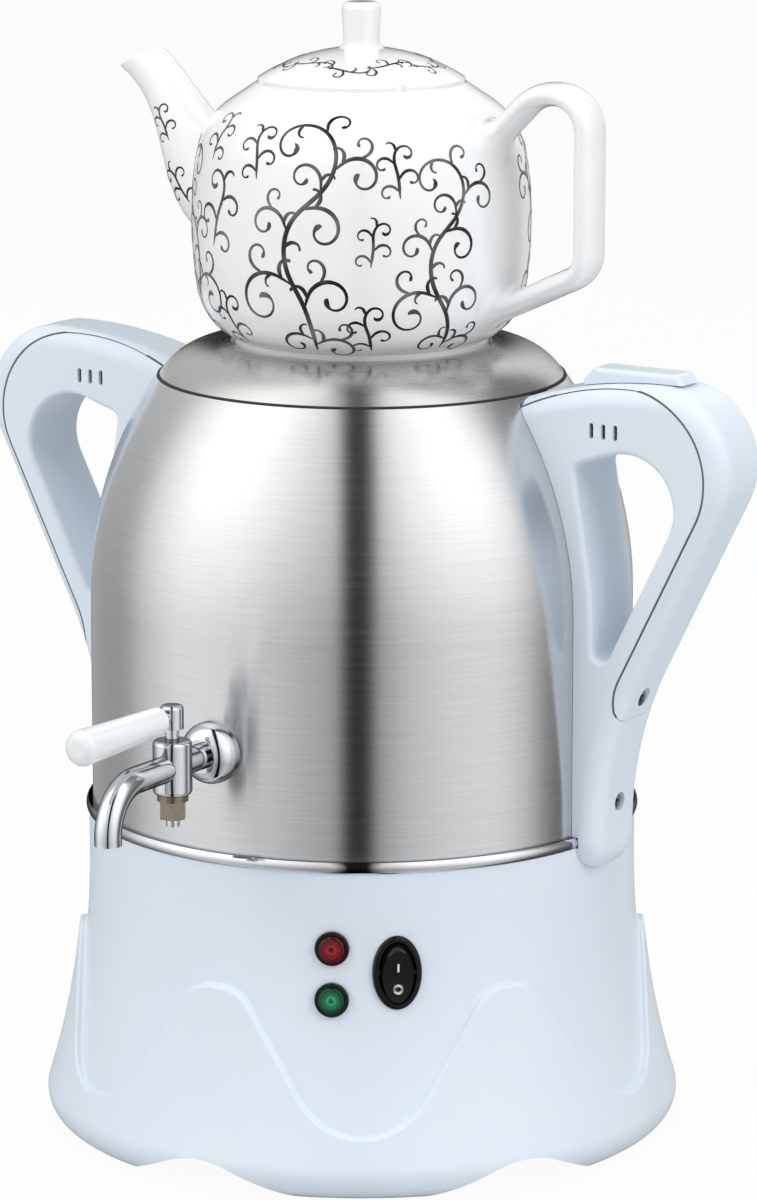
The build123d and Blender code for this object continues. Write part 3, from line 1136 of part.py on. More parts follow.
def end_prism(end, corner, gap):
    """Upright prism along X, as wide as a handle, with rounded lower corners."""
    tall = MOUTH_HEIGHT - end
    with BuildPart() as prism:
        with BuildSketch(Plane.YZ):
            with BuildLine():
                half = HANDLE_WIDTH / 2 + gap
                FilletPolyline(
                    (half, end + 2 * tall),
                    (half, end),
                    (-half, end),
                    (-half, end + 2 * tall),
                    radius=corner,
                )
                Line((-half, end + 2 * tall), (half, end + 2 * tall))
            make_face()
        extrude(amount=2 * VESSEL_RADIUS)
    return prism.part


# Room taken by the base, the chrome band, the vessel and the lid
with BuildPart() as vessel_room:
    with BuildSketch(Plane.XZ):
        room_bend = SHOULDER_RADIUS + SNUG
        room_top = MOUTH_HEIGHT + 2 * CROWN_RISE
        room_low = FOOT_END - FOOT_DEPTH
        tip_height = SHOULDER_START + sqrt(room_bend**2 - (HANDLE_TIP_RADIUS - SHOULDER_CENTRE) ** 2)
        half_turn = radians(SHOULDER_MIDDLE)
        with BuildLine():
            Polyline(
                (HANDLE_TIP_RADIUS, tip_height),
                (HANDLE_TIP_RADIUS, room_top),
                (0, room_top),
                (0, room_low),
                (bell(room_low) + SNUG, room_low),
                (BASE_TOP_RADIUS + SNUG, BELL_START),
                (BASE_TOP_RADIUS + SNUG, BASE_HEIGHT - SNUG),
                (TRIM_RADIUS + TRIM_BULGE + SNUG, BASE_HEIGHT - SNUG),
                (TRIM_RADIUS + TRIM_BULGE + SNUG, TRIM_TOP + SNUG),
                (VESSEL_RADIUS + SNUG, TRIM_TOP + SNUG),
                (VESSEL_RADIUS + SNUG, SHOULDER_START),
            )
            ThreePointArc(
                (VESSEL_RADIUS + SNUG, SHOULDER_START),
                (
                    SHOULDER_CENTRE + room_bend * cos(half_turn),
                    SHOULDER_START + room_bend * sin(half_turn),
                ),
                (HANDLE_TIP_RADIUS, tip_height),
            )
        make_face()
    revolve(axis=Axis.Z)

# Loop handle in one piece, before its grip cap is parted from it
with BuildPart() as handle_form:
    with BuildSketch(Plane.XZ):
        with BuildLine():
            crown, bend = handle_crown(CROWN_APEX, CROWN_RADIUS, GRIP_OUTER_BEND)
            knee_rise = (bend @ 1).Y - ((bend @ 1).X - FOOT_FACE) / tan(radians(HANDLE_LEAN))
            FilletPolyline(bend @ 1, (FOOT_FACE, knee_rise), (FOOT_FACE, FOOT_END), radius=KNEE_BEND)
            Polyline((FOOT_FACE, FOOT_END), (HANDLE_INNER, FOOT_END), crown @ 1)
        make_face()
    extrude(amount=HANDLE_WIDTH / 2, both=True)
    add(end_prism(FOOT_END, FOOT_CORNER, 0.0), mode=Mode.INTERSECT)
    rim = []
    for edge in handle_form.edges():
        along = edge % 0.5
        at_foot = abs((edge @ 0.5).Z - FOOT_END) < SNUG
        outside = (edge @ 0.5).X > HANDLE_INNER + SNUG
        if outside and abs(along.X) < 1 - SNUG**3 and (abs(along.Y) < 1 - SNUG**3 or at_foot):
            rim.append(edge)
    fillet(rim, HANDLE_ROUND)
    with BuildSketch(Plane.XZ):
        with BuildLine():
            lean = radians(HANDLE_LEAN)
            slope = radians(OPENING_TOP_SLOPE)
            front = (
                VESSEL_RADIUS + OPENING_BEND_REACH + OPENING_BEND * cos(lean),
                MOUTH_HEIGHT - OPENING_BEND_DROP - OPENING_BEND * sin(lean),
            )
            top_corner = (VESSEL_RADIUS - OPENING_CORNER_IN, MOUTH_HEIGHT - OPENING_CORNER_DROP)
            level = front[0] + (top_corner[1] - front[1]) * tan(lean)
            run = (level - top_corner[0]) / (1 - tan(slope) * tan(lean))
            far_corner = (top_corner[0] + run, top_corner[1] + run * tan(slope))
            column = VESSEL_RADIUS + OPENING_COLUMN
            heel = (column, front[1] - (front[0] - column) / tan(lean))
            FilletPolyline(
                top_corner,
                far_corner,
                heel,
                (column, OPENING_BACK_START),
                radius=[OPENING_CORNER, OPENING_BEND, OPENING_HEEL, OPENING_BACK_BEND],
                close=True,
            )
        make_face()
    extrude(amount=HANDLE_WIDTH, both=True, mode=Mode.SUBTRACT)
    mouths = []
    for edge in handle_form.edges():
        place = edge @ 0.5
        near = top_corner[0] - SNUG < place.X < far_corner[0] and heel[1] < place.Z < far_corner[1]
        on_side = abs(abs(place.Y) - HANDLE_WIDTH / 2) < SNUG**2
        if near and on_side and abs((edge % 0.5).Y) < SNUG:
            mouths.append(edge)
    fillet(mouths, OPENING_ROUND)
    for side in (1, -1):
        with BuildSketch(Plane.XZ.offset(side * HANDLE_WIDTH / 2)):
            with Locations((VESSEL_RADIUS + SLOT_REACH, MOUTH_HEIGHT - SLOT_DROP)):
                with GridLocations(SLOT_PITCH, 0, SLOT_COUNT, 1):
                    SlotOverall(SLOT_HEIGHT, SLOT_WIDTH, rotation=90)
        extrude(amount=-side * SLOT_DEPTH, mode=Mode.SUBTRACT)
    add(vessel_room.part, mode=Mode.SUBTRACT)
    with BuildSketch(Plane.YZ.offset(FOOT_FACE - HANDLE_SCREW_RECESS_DEPTH)):
        with Locations((0, FOOT_SCREW_HEIGHT)):
            Circle(HANDLE_SCREW_RECESS)
    extrude(amount=FOOT_DEPTH, mode=Mode.SUBTRACT)
    with BuildSketch(Plane.YZ.offset(VESSEL_RADIUS - SHEET)):
        with Locations((0, FOOT_SCREW_HEIGHT)):
            Circle(BOSS_RADIUS + SNUG)
    extrude(amount=SHEET + BOSS_LENGTH + SNUG, mode=Mode.SUBTRACT)
    with BuildSketch(Plane.YZ.offset(CAP_SCREW_FACE)):
        with Locations((0, CAP_SCREW_HEIGHT)):
            Circle(HANDLE_SCREW_RECESS)
    extrude(amount=FOOT_DEPTH, mode=Mode.SUBTRACT)
    with BuildSketch(Plane.YZ.offset(VESSEL_RADIUS)):
        with Locations((0, FOOT_SCREW_HEIGHT)):
            Circle(HANDLE_SCREW_RADIUS + SNUG)
    extrude(amount=FOOT_DEPTH, mode=Mode.SUBTRACT)
    with BuildSketch(Plane.YZ.offset(CAP_SCREW_FACE - CAP_SCREW_LENGTH - SNUG)):
        with Locations((0, CAP_SCREW_HEIGHT)):
            Circle(HANDLE_SCREW_RADIUS + SNUG)
    extrude(amount=CAP_SCREW_LENGTH + FOOT_DEPTH, mode=Mode.SUBTRACT)
    with BuildSketch(Plane.YZ.offset(BRACKET_ROOT - BRACKET_REACH)):
        with Locations((0, BRACKET_HEIGHT)):
            Rectangle(BRACKET_WIDTH + 2 * SNUG, BRACKET_THICKNESS + 2 * SNUG)
    extrude(amount=2 * BRACKET_REACH + SNUG, mode=Mode.SUBTRACT)


def cap_zone(gap):
    """Room of a handle's grip cap: everything outside the seam, moved out by a gap."""
    with BuildPart() as zone:
        with BuildSketch(Plane.XZ):
            with BuildLine():
                apex = (SEAM_APEX[0], SEAM_APEX[1] + gap)
                crown, bend = handle_crown(apex, SEAM_CROWN + gap, SEAM_BEND + gap)
                foot = VESSEL_RADIUS + SEAM_FOOT + gap
                knee = (bend @ 1).Y - ((bend @ 1).X - foot) / tan(radians(HANDLE_LEAN))
                far = SEAM_APEX[0] + SEAM_CROWN
                FilletPolyline(
                    bend @ 1,
                    (foot, knee),
                    (foot, CAP_END + gap),
                    (far, CAP_END + gap),
                    radius=[SEAM_KNEE - gap, SEAM_TURN - gap],
                )
                Line((far, CAP_END + gap), (far, SEAM_APEX[1] + SEAM_CROWN))
                Polyline(
                    (far, SEAM_APEX[1] + SEAM_CROWN),
                    (HANDLE_INNER, SEAM_APEX[1] + SEAM_CROWN),
                    crown @ 1,
                )
            make_face()
        extrude(amount=HANDLE_WIDTH, both=True)
        add(end_prism(CAP_END + gap, CAP_END_CORNER, SNUG), mode=Mode.INTERSECT)
    return zone.part


with BuildPart() as handle_body:
    add(handle_form.part)
    add(cap_zone(0.0), mode=Mode.SUBTRACT)
with BuildPart() as handle_cap:
    add(handle_form.part)
    add(cap_zone(SEAM_GAP), mode=Mode.INTERSECT)


def latch_way(floor):
    """Channel for the latch's tongue and web through the right handle."""
    with BuildPart() as way:
        with BuildSketch(Plane.XY.offset(floor)):
            with Locations((HANDLE_INNER, 0)):
                Rectangle(
                    WEB_END + RUNNING - HANDLE_INNER,
                    TONGUE_WIDTH + 2 * RUNNING,
                    align=(Align.MIN, Align.CENTER),
                )
        extrude(amount=TONGUE_TOP + RUNNING - floor)
        with BuildSketch(Plane.XY.offset(TONGUE_BOTTOM)):
            with Locations((WEB_END + RUNNING, 0)):
                Rectangle(
                    WEB_LENGTH + LATCH_TRAVEL + 2 * RUNNING,
                    WEB_WIDTH + 2 * RUNNING,
                    align=(Align.MAX, Align.CENTER),
                )
        extrude(amount=2 * LATCH_HEIGHT)
    return way.part


# Handle bodies and grip caps; the right ones are cut through for the lid latch
with BuildPart() as right_handle_body:
    add(handle_body.part)
    add(latch_way(TONGUE_BOTTOM - RUNNING), mode=Mode.SUBTRACT)
with BuildPart() as right_handle_cap:
    add(handle_cap.part)
    add(latch_way(SEAT_HEIGHT), mode=Mode.SUBTRACT)
with BuildPart() as left_handle_body:
    mirror(handle_body.part, about=Plane.YZ)
with BuildPart() as left_handle_cap:
    mirror(handle_cap.part, about=Plane.YZ)

# Lid latch: thumb piece, web and tongue in one
with BuildPart() as lid_latch:
    with BuildSketch(Plane.XZ):
        with BuildLine():
            latch_top = MOUTH_HEIGHT + LATCH_HEIGHT
            latch_start = VESSEL_RADIUS + LATCH_START
            latch_end = VESSEL_RADIUS + LATCH_END
            FilletPolyline(
                (latch_start, MOUTH_HEIGHT),
                (latch_start, latch_top - LATCH_NOSE),
                (latch_start + LATCH_NOSE, latch_top),
                (latch_end - LATCH_HEEL, latch_top),
                (latch_end, MOUTH_HEIGHT),
                radius=LATCH_ROUND,
            )
            Line((latch_end, MOUTH_HEIGHT), (latch_start, MOUTH_HEIGHT))
        make_face()
    extrude(amount=LATCH_WIDTH / 2, both=True)
    thumb_edges = []
    for edge in lid_latch.edges():
        if abs((edge % 0.5).Y) < SNUG and (edge @ 0.5).Z > MOUTH_HEIGHT + SNUG:
            thumb_edges.append(edge)
    fillet(thumb_edges, LATCH_ROUND)
    for shift in (0.0, LATCH_TRAVEL):
        with BuildSketch(Plane.XZ):
            with BuildLine():
                apex = (CROWN_APEX[0] + shift, CROWN_APEX[1] + RUNNING)
                crown, bend = handle_crown(apex, CROWN_RADIUS + RUNNING, GRIP_OUTER_BEND + RUNNING)
                Polyline(bend @ 1, ((bend @ 1).X, FOOT_END), (HANDLE_INNER, FOOT_END), crown @ 1)
            make_face()
        extrude(amount=HANDLE_WIDTH, both=True, mode=Mode.SUBTRACT)
    with BuildSketch(Plane.XY.offset(TONGUE_BOTTOM)):
        with Locations((WEB_END, 0)):
            Rectangle(WEB_LENGTH, WEB_WIDTH, align=(Align.MAX, Align.CENTER))
    extrude(amount=MOUTH_HEIGHT + LATCH_HEIGHT / 2 + CROWN_RISE / 2 - TONGUE_BOTTOM)
    with BuildSketch(Plane.XY.offset(TONGUE_BOTTOM)):
        with Locations((WEB_END, 0)):
            Rectangle(WEB_END - HANDLE_TIP_RADIUS, TONGUE_WIDTH, align=(Align.MAX, Align.CENTER))
    extrude(amount=TONGUE_THICKNESS)

# Handle screws and the welded bosses and tabs that carry the handles
with BuildPart() as handle_screws:
    for face, height, length in (
        (FOOT_FACE - HANDLE_SCREW_RECESS_DEPTH, FOOT_SCREW_HEIGHT, FOOT_SCREW_LENGTH),
        (CAP_SCREW_FACE, CAP_SCREW_HEIGHT, CAP_SCREW_LENGTH),
    ):
        with BuildSketch(Plane.YZ.offset(face)):
            with Locations((0, height)):
                Circle(HANDLE_SCREW_HEAD)
        extrude(amount=HANDLE_SCREW_HEAD_HEIGHT)
        with BuildSketch(Plane.YZ.offset(face + HANDLE_SCREW_HEAD_HEIGHT)):
            with Locations((0, height)):
                Rectangle(CROSS_LENGTH, CROSS_WIDTH)
                Rectangle(CROSS_WIDTH, CROSS_LENGTH)
        extrude(amount=-CROSS_DEPTH, mode=Mode.SUBTRACT)
        with BuildSketch(Plane.YZ.offset(face)):
            with Locations((0, height)):
                Circle(HANDLE_SCREW_RADIUS)
        extrude(amount=-length)
    mirror(about=Plane.YZ)
with BuildPart() as handle_brackets:
    with BuildSketch(Plane.YZ.offset(VESSEL_RADIUS - SHEET)):
        with Locations((0, FOOT_SCREW_HEIGHT)):
            Circle(BOSS_RADIUS)
            Circle(HANDLE_SCREW_RADIUS + SNUG, mode=Mode.SUBTRACT)
    extrude(amount=SHEET + BOSS_LENGTH)
    with BuildSketch(Plane.YZ.offset(BRACKET_ROOT - BRACKET_REACH)):
        with Locations((0, BRACKET_HEIGHT)):
            Rectangle(BRACKET_WIDTH, BRACKET_THICKNESS)
    extrude(amount=2 * BRACKET_REACH)
    add(vessel_room.part, mode=Mode.SUBTRACT)
    mirror(about=Plane.YZ)

# Vessel lid: gallery dome, collar and seal
with BuildPart() as lid_dome:
    with BuildSketch(Plane.XZ):
        dome_span = LID_RADIUS - LID_FLAT_RADIUS
        dome_bend = (dome_span**2 + LID_RISE**2) / (2 * LID_RISE)
        dome_centre = LID_TOP - dome_bend
        dome_half = asin(dome_span / dome_bend) / 2
        inner_bend = dome_bend - SHEET
        inner_rim = LID_RADIUS - SHEET
        inner_half = asin((inner_rim - LID_FLAT_RADIUS) / inner_bend) / 2
        floor_top = LID_TOP - GALLERY_DEPTH
        with BuildLine():
            Line((LID_RADIUS, COLLAR_TOP), (LID_RADIUS, LID_RIM_HEIGHT))
            ThreePointArc(
                (LID_RADIUS, LID_RIM_HEIGHT),
                (
                    LID_FLAT_RADIUS + dome_bend * sin(dome_half),
                    dome_centre + dome_bend * cos(dome_half),
                ),
                (LID_FLAT_RADIUS, LID_TOP),
            )
            Polyline(
                (LID_FLAT_RADIUS, LID_TOP),
                (GALLERY_RADIUS, LID_TOP),
                (GALLERY_RADIUS, floor_top),
                (STEAM_HOLE_RADIUS, floor_top),
                (STEAM_HOLE_RADIUS, floor_top - STEAM_COLLAR),
                (STEAM_HOLE_RADIUS + SHEET, floor_top - STEAM_COLLAR),
                (STEAM_HOLE_RADIUS + SHEET, floor_top - SHEET),
                (GALLERY_RADIUS + SHEET, floor_top - SHEET),
                (GALLERY_RADIUS + SHEET, LID_TOP - SHEET),
                (LID_FLAT_RADIUS, LID_TOP - SHEET),
            )
            inner_end = dome_centre + inner_bend * cos(2 * inner_half)
            ThreePointArc(
                (LID_FLAT_RADIUS, LID_TOP - SHEET),
                (
                    LID_FLAT_RADIUS + inner_bend * sin(inner_half),
                    dome_centre + inner_bend * cos(inner_half),
                ),
                (inner_rim, inner_end),
            )
            Polyline((inner_rim, inner_end), (inner_rim, COLLAR_TOP), (LID_RADIUS, COLLAR_TOP))
        make_face()
    revolve(axis=Axis.Z)
    with BuildSketch(Plane.XY.offset(COLLAR_TOP)):
        with Locations((LID_RADIUS, 0)):
            Rectangle(4 * SHEET, TONGUE_WIDTH + 2 * SLIP)
    extrude(amount=TONGUE_TOP + TONGUE_GAP - COLLAR_TOP, mode=Mode.SUBTRACT)
with BuildPart() as lid_collar:
    with BuildSketch(Plane.XZ):
        collar_radius = SEAT_INNER - SLIP
        with BuildLine():
            Polyline(
                (LID_RADIUS, COLLAR_TOP),
                (LID_RADIUS, COLLAR_TOP - SHEET),
                (collar_radius, COLLAR_TOP - SHEET),
                (collar_radius, SEAT_HEIGHT - COLLAR_DEPTH),
                (collar_radius - SHEET, SEAT_HEIGHT - COLLAR_DEPTH),
                (collar_radius - SHEET, COLLAR_TOP),
                close=True,
            )
        make_face()
    revolve(axis=Axis.Z)
with BuildPart() as lid_seal:
    with BuildSketch(Plane.XY.offset(SEAT_HEIGHT)):
        Circle(SEAT_INNER + SHEET + LID_SEAL_WIDTH)
        Circle(SEAT_INNER + SHEET, mode=Mode.SUBTRACT)
    extrude(amount=LID_SEAL_HEIGHT)


def pot_flank(inset):
    """Draw the teapot's flank, moved in by an inset, and return its lower and upper ends."""
    belly = POT_BELLY_RADIUS - inset
    lower = JernArc((belly, POT_BELLY_Z), (0, -1), POT_LOWER_BEND - inset, -POT_LOWER_TURN)
    base = JernArc(lower @ 1, lower % 1, POT_BASE_BEND - inset, -POT_BASE_TURN)
    band_top = (belly, POT_BELLY_Z + POT_BELLY_BAND)
    Line((belly, POT_BELLY_Z), band_top)
    upper = JernArc(band_top, (0, 1), POT_UPPER_BEND - inset, POT_UPPER_TURN)
    shoulder_arc = JernArc(upper @ 1, upper % 1, POT_SHOULDER_BEND - inset, POT_SHOULDER_TURN)
    return base @ 1, shoulder_arc @ 1


def spout_plane(place, pitch, beyond=0.0):
    """Plane across the spout at a reach and rise, facing along the flow."""
    facing = Vector(-cos(radians(pitch)), 0, sin(radians(pitch)))
    return Plane(
        origin=Vector(-POT_BELLY_RADIUS - place[0], 0, POT_BOTTOM + place[1]) + facing * beyond,
        x_dir=Vector(sin(radians(pitch)), 0, cos(radians(pitch))),
        z_dir=facing,
    )


def spout_sections(inset, beyond):
    """The four sections of the spout, smaller by an inset."""
    sections = []
    for place, pitch, half, past in (
        (SPOUT_ROOT, SPOUT_ROOT_PITCH, SPOUT_ROOT_HALF, 0.0),
        (SPOUT_MIDDLE, SPOUT_MIDDLE_PITCH, SPOUT_MIDDLE_HALF, 0.0),
        (SPOUT_NECK, SPOUT_NECK_PITCH, SPOUT_NECK_HALF, 0.0),
        (SPOUT_TIP, SPOUT_TIP_PITCH, SPOUT_TIP_HALF, beyond),
    ):
        with BuildSketch(spout_plane(place, pitch, past)) as section:
            Ellipse(half[0] - inset, half[1] - inset)
        sections.append(section.sketch)
    return sections


# Teapot: turned body, lofted spout, swept handle and pierced strainer
with BuildSketch(Plane.XZ) as pot_outside:
    with BuildLine():
        base_end, shoulder_end = pot_flank(0.0)
        rim_slope = tan(radians(POT_UPPER_TURN + POT_SHOULDER_TURN))
        rim_height = shoulder_end.Y + (shoulder_end.X - POT_RIM_RADIUS) / rim_slope
        Polyline(
            base_end,
            (POT_FOOT_RADIUS, POT_BOTTOM),
            (POT_FOOT_RADIUS - POT_FOOT_WIDTH, POT_BOTTOM),
            (POT_FOOT_RADIUS - POT_FOOT_WIDTH, POT_BOTTOM + POT_FOOT_HEIGHT),
            (0, POT_BOTTOM + POT_FOOT_HEIGHT),
            (0, rim_height),
            (POT_RIM_RADIUS, rim_height),
            shoulder_end,
        )
    make_face()
with BuildLine() as ear_path:
    ear_root = POT_BELLY_RADIUS - EAR_ROOT_INSET
    ear_outer = POT_BELLY_RADIUS + EAR_OUTER_GAP
    FilletPolyline(
        (ear_root, 0, POT_BOTTOM + EAR_UPPER_ROOT_RISE),
        (POT_BELLY_RADIUS + EAR_TOP[0], 0, POT_BOTTOM + EAR_TOP[1]),
        (ear_outer, 0, POT_BOTTOM + EAR_TOP[1]),
        (ear_outer, 0, POT_BOTTOM + EAR_LOWER_RISE),
        (ear_root, 0, POT_BOTTOM + EAR_LOWER_ROOT_RISE),
        radius=[EAR_ROOT_BEND, EAR_TOP_BEND, EAR_HEEL_BEND],
    )
with BuildPart() as teapot:
    add(pot_outside.sketch)
    revolve(axis=Axis.Z)
    loft(spout_sections(0.0, 0.0))
    ear_start = Plane(origin=ear_path.line @ 0, x_dir=(0, 1, 0), z_dir=ear_path.line % 0)
    with BuildSketch(ear_start):
        Ellipse(EAR_HALF_WIDTH, EAR_HALF_DEPTH)
    sweep(path=ear_path.line)
    loft(spout_sections(SPOUT_WALL, SLIP), mode=Mode.SUBTRACT)
    add(pot_outside.sketch)
    revolve(axis=Axis.Z)
    with BuildSketch(Plane.XZ):
        with BuildLine():
            base_end, shoulder_end = pot_flank(POT_WALL)
            neck_height = shoulder_end.Y + (shoulder_end.X - POT_MOUTH_RADIUS) / rim_slope
            Polyline(
                base_end,
                (0, base_end.Y),
                (0, rim_height),
                (POT_MOUTH_RADIUS, rim_height),
                (POT_MOUTH_RADIUS, neck_height),
                shoulder_end,
            )
        make_face()
    revolve(axis=Axis.Z, mode=Mode.SUBTRACT)
    with BuildSketch(Plane.YZ.offset(-POT_BELLY_RADIUS - SPOUT_ROOT[0])):
        with Locations((0, POT_BOTTOM + SPOUT_ROOT[1])):
            Circle(STRAINER_HOLE)
            with PolarLocations(STRAINER_PITCH, 6):
                Circle(STRAINER_HOLE)
    extrude(amount=SPOUT_ROOT[0] - POT_WALL, mode=Mode.SUBTRACT)

# Teapot lid: domed cap, plug ring, finial and steam notch
with BuildPart() as teapot_lid:
    lid_edge = POT_RIM_RADIUS - SLIP
    plug_radius = POT_MOUTH_RADIUS - SLIP
    edge_top = rim_height + POT_LID_EDGE
    lid_apex = edge_top + POT_LID_DOME
    lid_bend = (lid_edge**2 + POT_LID_DOME**2) / (2 * POT_LID_DOME)
    lid_centre = lid_apex - lid_bend
    hollow = plug_radius - POT_LID_PLUG_WALL
    hollow_bend = lid_bend - POT_LID_WALL
    with BuildSketch(Plane.XZ):
        with BuildLine():
            half_angle = asin(lid_edge / lid_bend) / 2
            ThreePointArc(
                (0, lid_apex),
                (lid_bend * sin(half_angle), lid_centre + lid_bend * cos(half_angle)),
                (lid_edge, edge_top),
            )
            hollow_top = lid_centre + sqrt(hollow_bend**2 - hollow**2)
            Polyline(
                (lid_edge, edge_top),
                (lid_edge, rim_height),
                (plug_radius, rim_height),
                (plug_radius, rim_height - POT_LID_PLUG),
                (hollow, rim_height - POT_LID_PLUG),
                (hollow, hollow_top),
            )
            half_hollow = asin(hollow / hollow_bend) / 2
            ThreePointArc(
                (hollow, hollow_top),
                (hollow_bend * sin(half_hollow), lid_centre + hollow_bend * cos(half_hollow)),
                (0, lid_apex - POT_LID_WALL),
            )
            Line((0, lid_apex - POT_LID_WALL), (0, lid_apex))
        make_face()
        with BuildLine():
            FilletPolyline(
                (FINIAL_FOOT_RADIUS, lid_apex - POT_LID_WALL / 2),
                (FINIAL_TOP_RADIUS, lid_apex + FINIAL_HEIGHT),
                (0, lid_apex + FINIAL_HEIGHT),
                radius=FINIAL_ROUND,
            )
            Polyline(
                (0, lid_apex + FINIAL_HEIGHT),
                (0, lid_apex - POT_LID_WALL / 2),
                (FINIAL_FOOT_RADIUS, lid_apex - POT_LID_WALL / 2),
            )
        make_face()
    revolve(axis=Axis.Z)
    foot_rings = [
        edge
        for edge in teapot_lid.edges().filter_by(GeomType.CIRCLE)
        if abs((edge @ 0).Z - lid_apex) < POT_LID_WALL / 4 and edge.radius < FINIAL_TOP_RADIUS
    ]
    fillet(foot_rings, FINIAL_FOOT_ROUND)
    with BuildSketch(Plane.XY.offset(rim_height)):
        notch = outward(STEAM_NOTCH_AZIMUTH) * lid_edge
        with Locations((notch.X, notch.Y)):
            Circle(STEAM_NOTCH_RADIUS)
    extrude(amount=POT_LID_DOME, mode=Mode.SUBTRACT)


def lead(plane, across, up, depth):
    """First two points of a wire that leaves a blade behind a plane."""
    return [
        plane.from_local_coords((across, up, -depth)),
        plane.from_local_coords((across, up, -depth - WIRE_LEAD)),
    ]


def drop(column, side):
    """Last two points of a wire that goes down into a hole of the terminal block."""
    place = (column * POLE_PITCH, side * (POLE_RADIUS + WIRE_RADIUS / 2))
    return [(*place, WIRE_LEVEL), (*place, PLATE_TOP + BLOCK_HEIGHT - POLE_DEPTH)]


# Wires from the inlet to the block, to the switch, the thermostat and the element
BLADE_END = SPREADER_BOTTOM - THERMOSTAT_HEIGHT - TAB_LENGTH
TAIL_END = SPREADER_BOTTOM - ELEMENT_TAIL
PIN_END = INLET_BODY_DEPTH + TAB_LENGTH
SWITCH_END = SWITCH_BODY_DEPTH + TAB_LENGTH
BLADE_SIDE = THERMOSTAT_RADIUS / 2
WIRE_ROUTES = [
    lead(INLET_PLANE, *PIN_PLACES[0], PIN_END) + drop(1, 1),
    lead(INLET_PLANE, *PIN_PLACES[1], PIN_END) + drop(-1, 1),
    lead(INLET_PLANE, *PIN_PLACES[2], PIN_END) + drop(0, 1),
    lead(SWITCH_PLANE, 0, -SWITCH_TAB_PITCH / 2, SWITCH_END) + drop(0, -1),
    lead(SWITCH_PLANE, 0, SWITCH_TAB_PITCH / 2, SWITCH_END)
    + [
        (THERMOSTAT_OFFSET, -BLADE_SIDE, BLADE_END - WIRE_LEAD),
        (THERMOSTAT_OFFSET, -BLADE_SIDE, BLADE_END),
    ],
    [
        (THERMOSTAT_OFFSET, BLADE_SIDE, BLADE_END),
        (THERMOSTAT_OFFSET, BLADE_SIDE, BLADE_END - WIRE_LEAD),
        (ELEMENT_ENDS[0][0], ELEMENT_ENDS[0][1], BLADE_END - WIRE_LEAD),
        (ELEMENT_ENDS[0][0], ELEMENT_ENDS[0][1], TAIL_END),
    ],
    [
        (ELEMENT_ENDS[1][0], ELEMENT_ENDS[1][1], TAIL_END),
        (ELEMENT_ENDS[1][0], ELEMENT_ENDS[1][1], TAIL_END - 2 * WIRE_LEAD),
    ]
    + drop(1, -1),
]
with BuildPart() as wiring:
    for route in WIRE_ROUTES:
        with BuildLine() as run:
            FilletPolyline(*route, radius=WIRE_BEND)
        with BuildSketch(Plane(origin=run.line @ 0, z_dir=run.line % 0)):
            Circle(WIRE_RADIUS)
        sweep()

# One file for each piece
red_bezel, red_lens = lamp(LAMP_RED_HEIGHT)
green_bezel, green_lens = lamp(LAMP_GREEN_HEIGHT)
pieces = {
    "base_housing": base_housing.part,
    "base_plate": base_plate.part,
    "rubber_feet": rubber_feet.part,
    "base_screws": base_screws.part,
    "trim_ring": trim_ring.part,
    "vessel_shell": vessel_shell.part,
    "vessel_floor": vessel_floor.part,
    "heat_spreader": heat_spreader.part,
    "heating_element": heating_element.part,
    "thermal_fuse": thermal_fuse.part,
    "mounting_studs": mounting_studs.part,
    "stud_nuts": stud_nuts.part,
    "terminal_block": terminal_block.part,
    "wiring": wiring.part,
    "power_inlet": power_inlet.part,
    "inlet_pins": inlet_pins.part,
    "switch_frame": switch_frame.part,
    "switch_tabs": switch_tabs.part,
    "switch_rocker": switch_rocker.part,
    "tap_rosette": tap_rosette.part,
    "tap_body": tap_body.part,
    "tap_plug": tap_plug.part,
    "tap_lever": tap_lever.part,
    "tap_grip": tap_grip.part,
    "tap_washer": tap_washer.part,
    "tap_nut": tap_nut.part,
    "tap_back_nut": tap_back_nut.part,
    "tap_seal": tap_seal.part,
    "right_handle_body": right_handle_body.part,
    "right_handle_cap": right_handle_cap.part,
    "left_handle_body": left_handle_body.part,
    "left_handle_cap": left_handle_cap.part,
    "lid_latch": lid_latch.part,
    "handle_screws": handle_screws.part,
    "handle_brackets": handle_brackets.part,
    "lid_dome": lid_dome.part,
    "lid_collar": lid_collar.part,
    "lid_seal": lid_seal.part,
    "teapot": teapot.part,
    "teapot_lid": teapot_lid.part,
    "boil_thermostat": thermostat(THERMOSTAT_OFFSET),
    "warm_thermostat": thermostat(-THERMOSTAT_OFFSET),
    "red_lamp_bezel": red_bezel,
    "red_lamp_lens": red_lens,
    "green_lamp_bezel": green_bezel,
    "green_lamp_lens": green_lens,
}
os.makedirs("parts", exist_ok=True)
for name, piece in pieces.items():
    piece.label = name
    export_step(piece, f"parts/{name}.step")
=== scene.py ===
import logging
from dataclasses import dataclass, field
from enum import Enum
from math import asin, ceil, cos, hypot, pi, radians, sin, sqrt

import bmesh
import bpy
from mathutils import Matrix, Vector
from mathutils.bvhtree import BVHTree


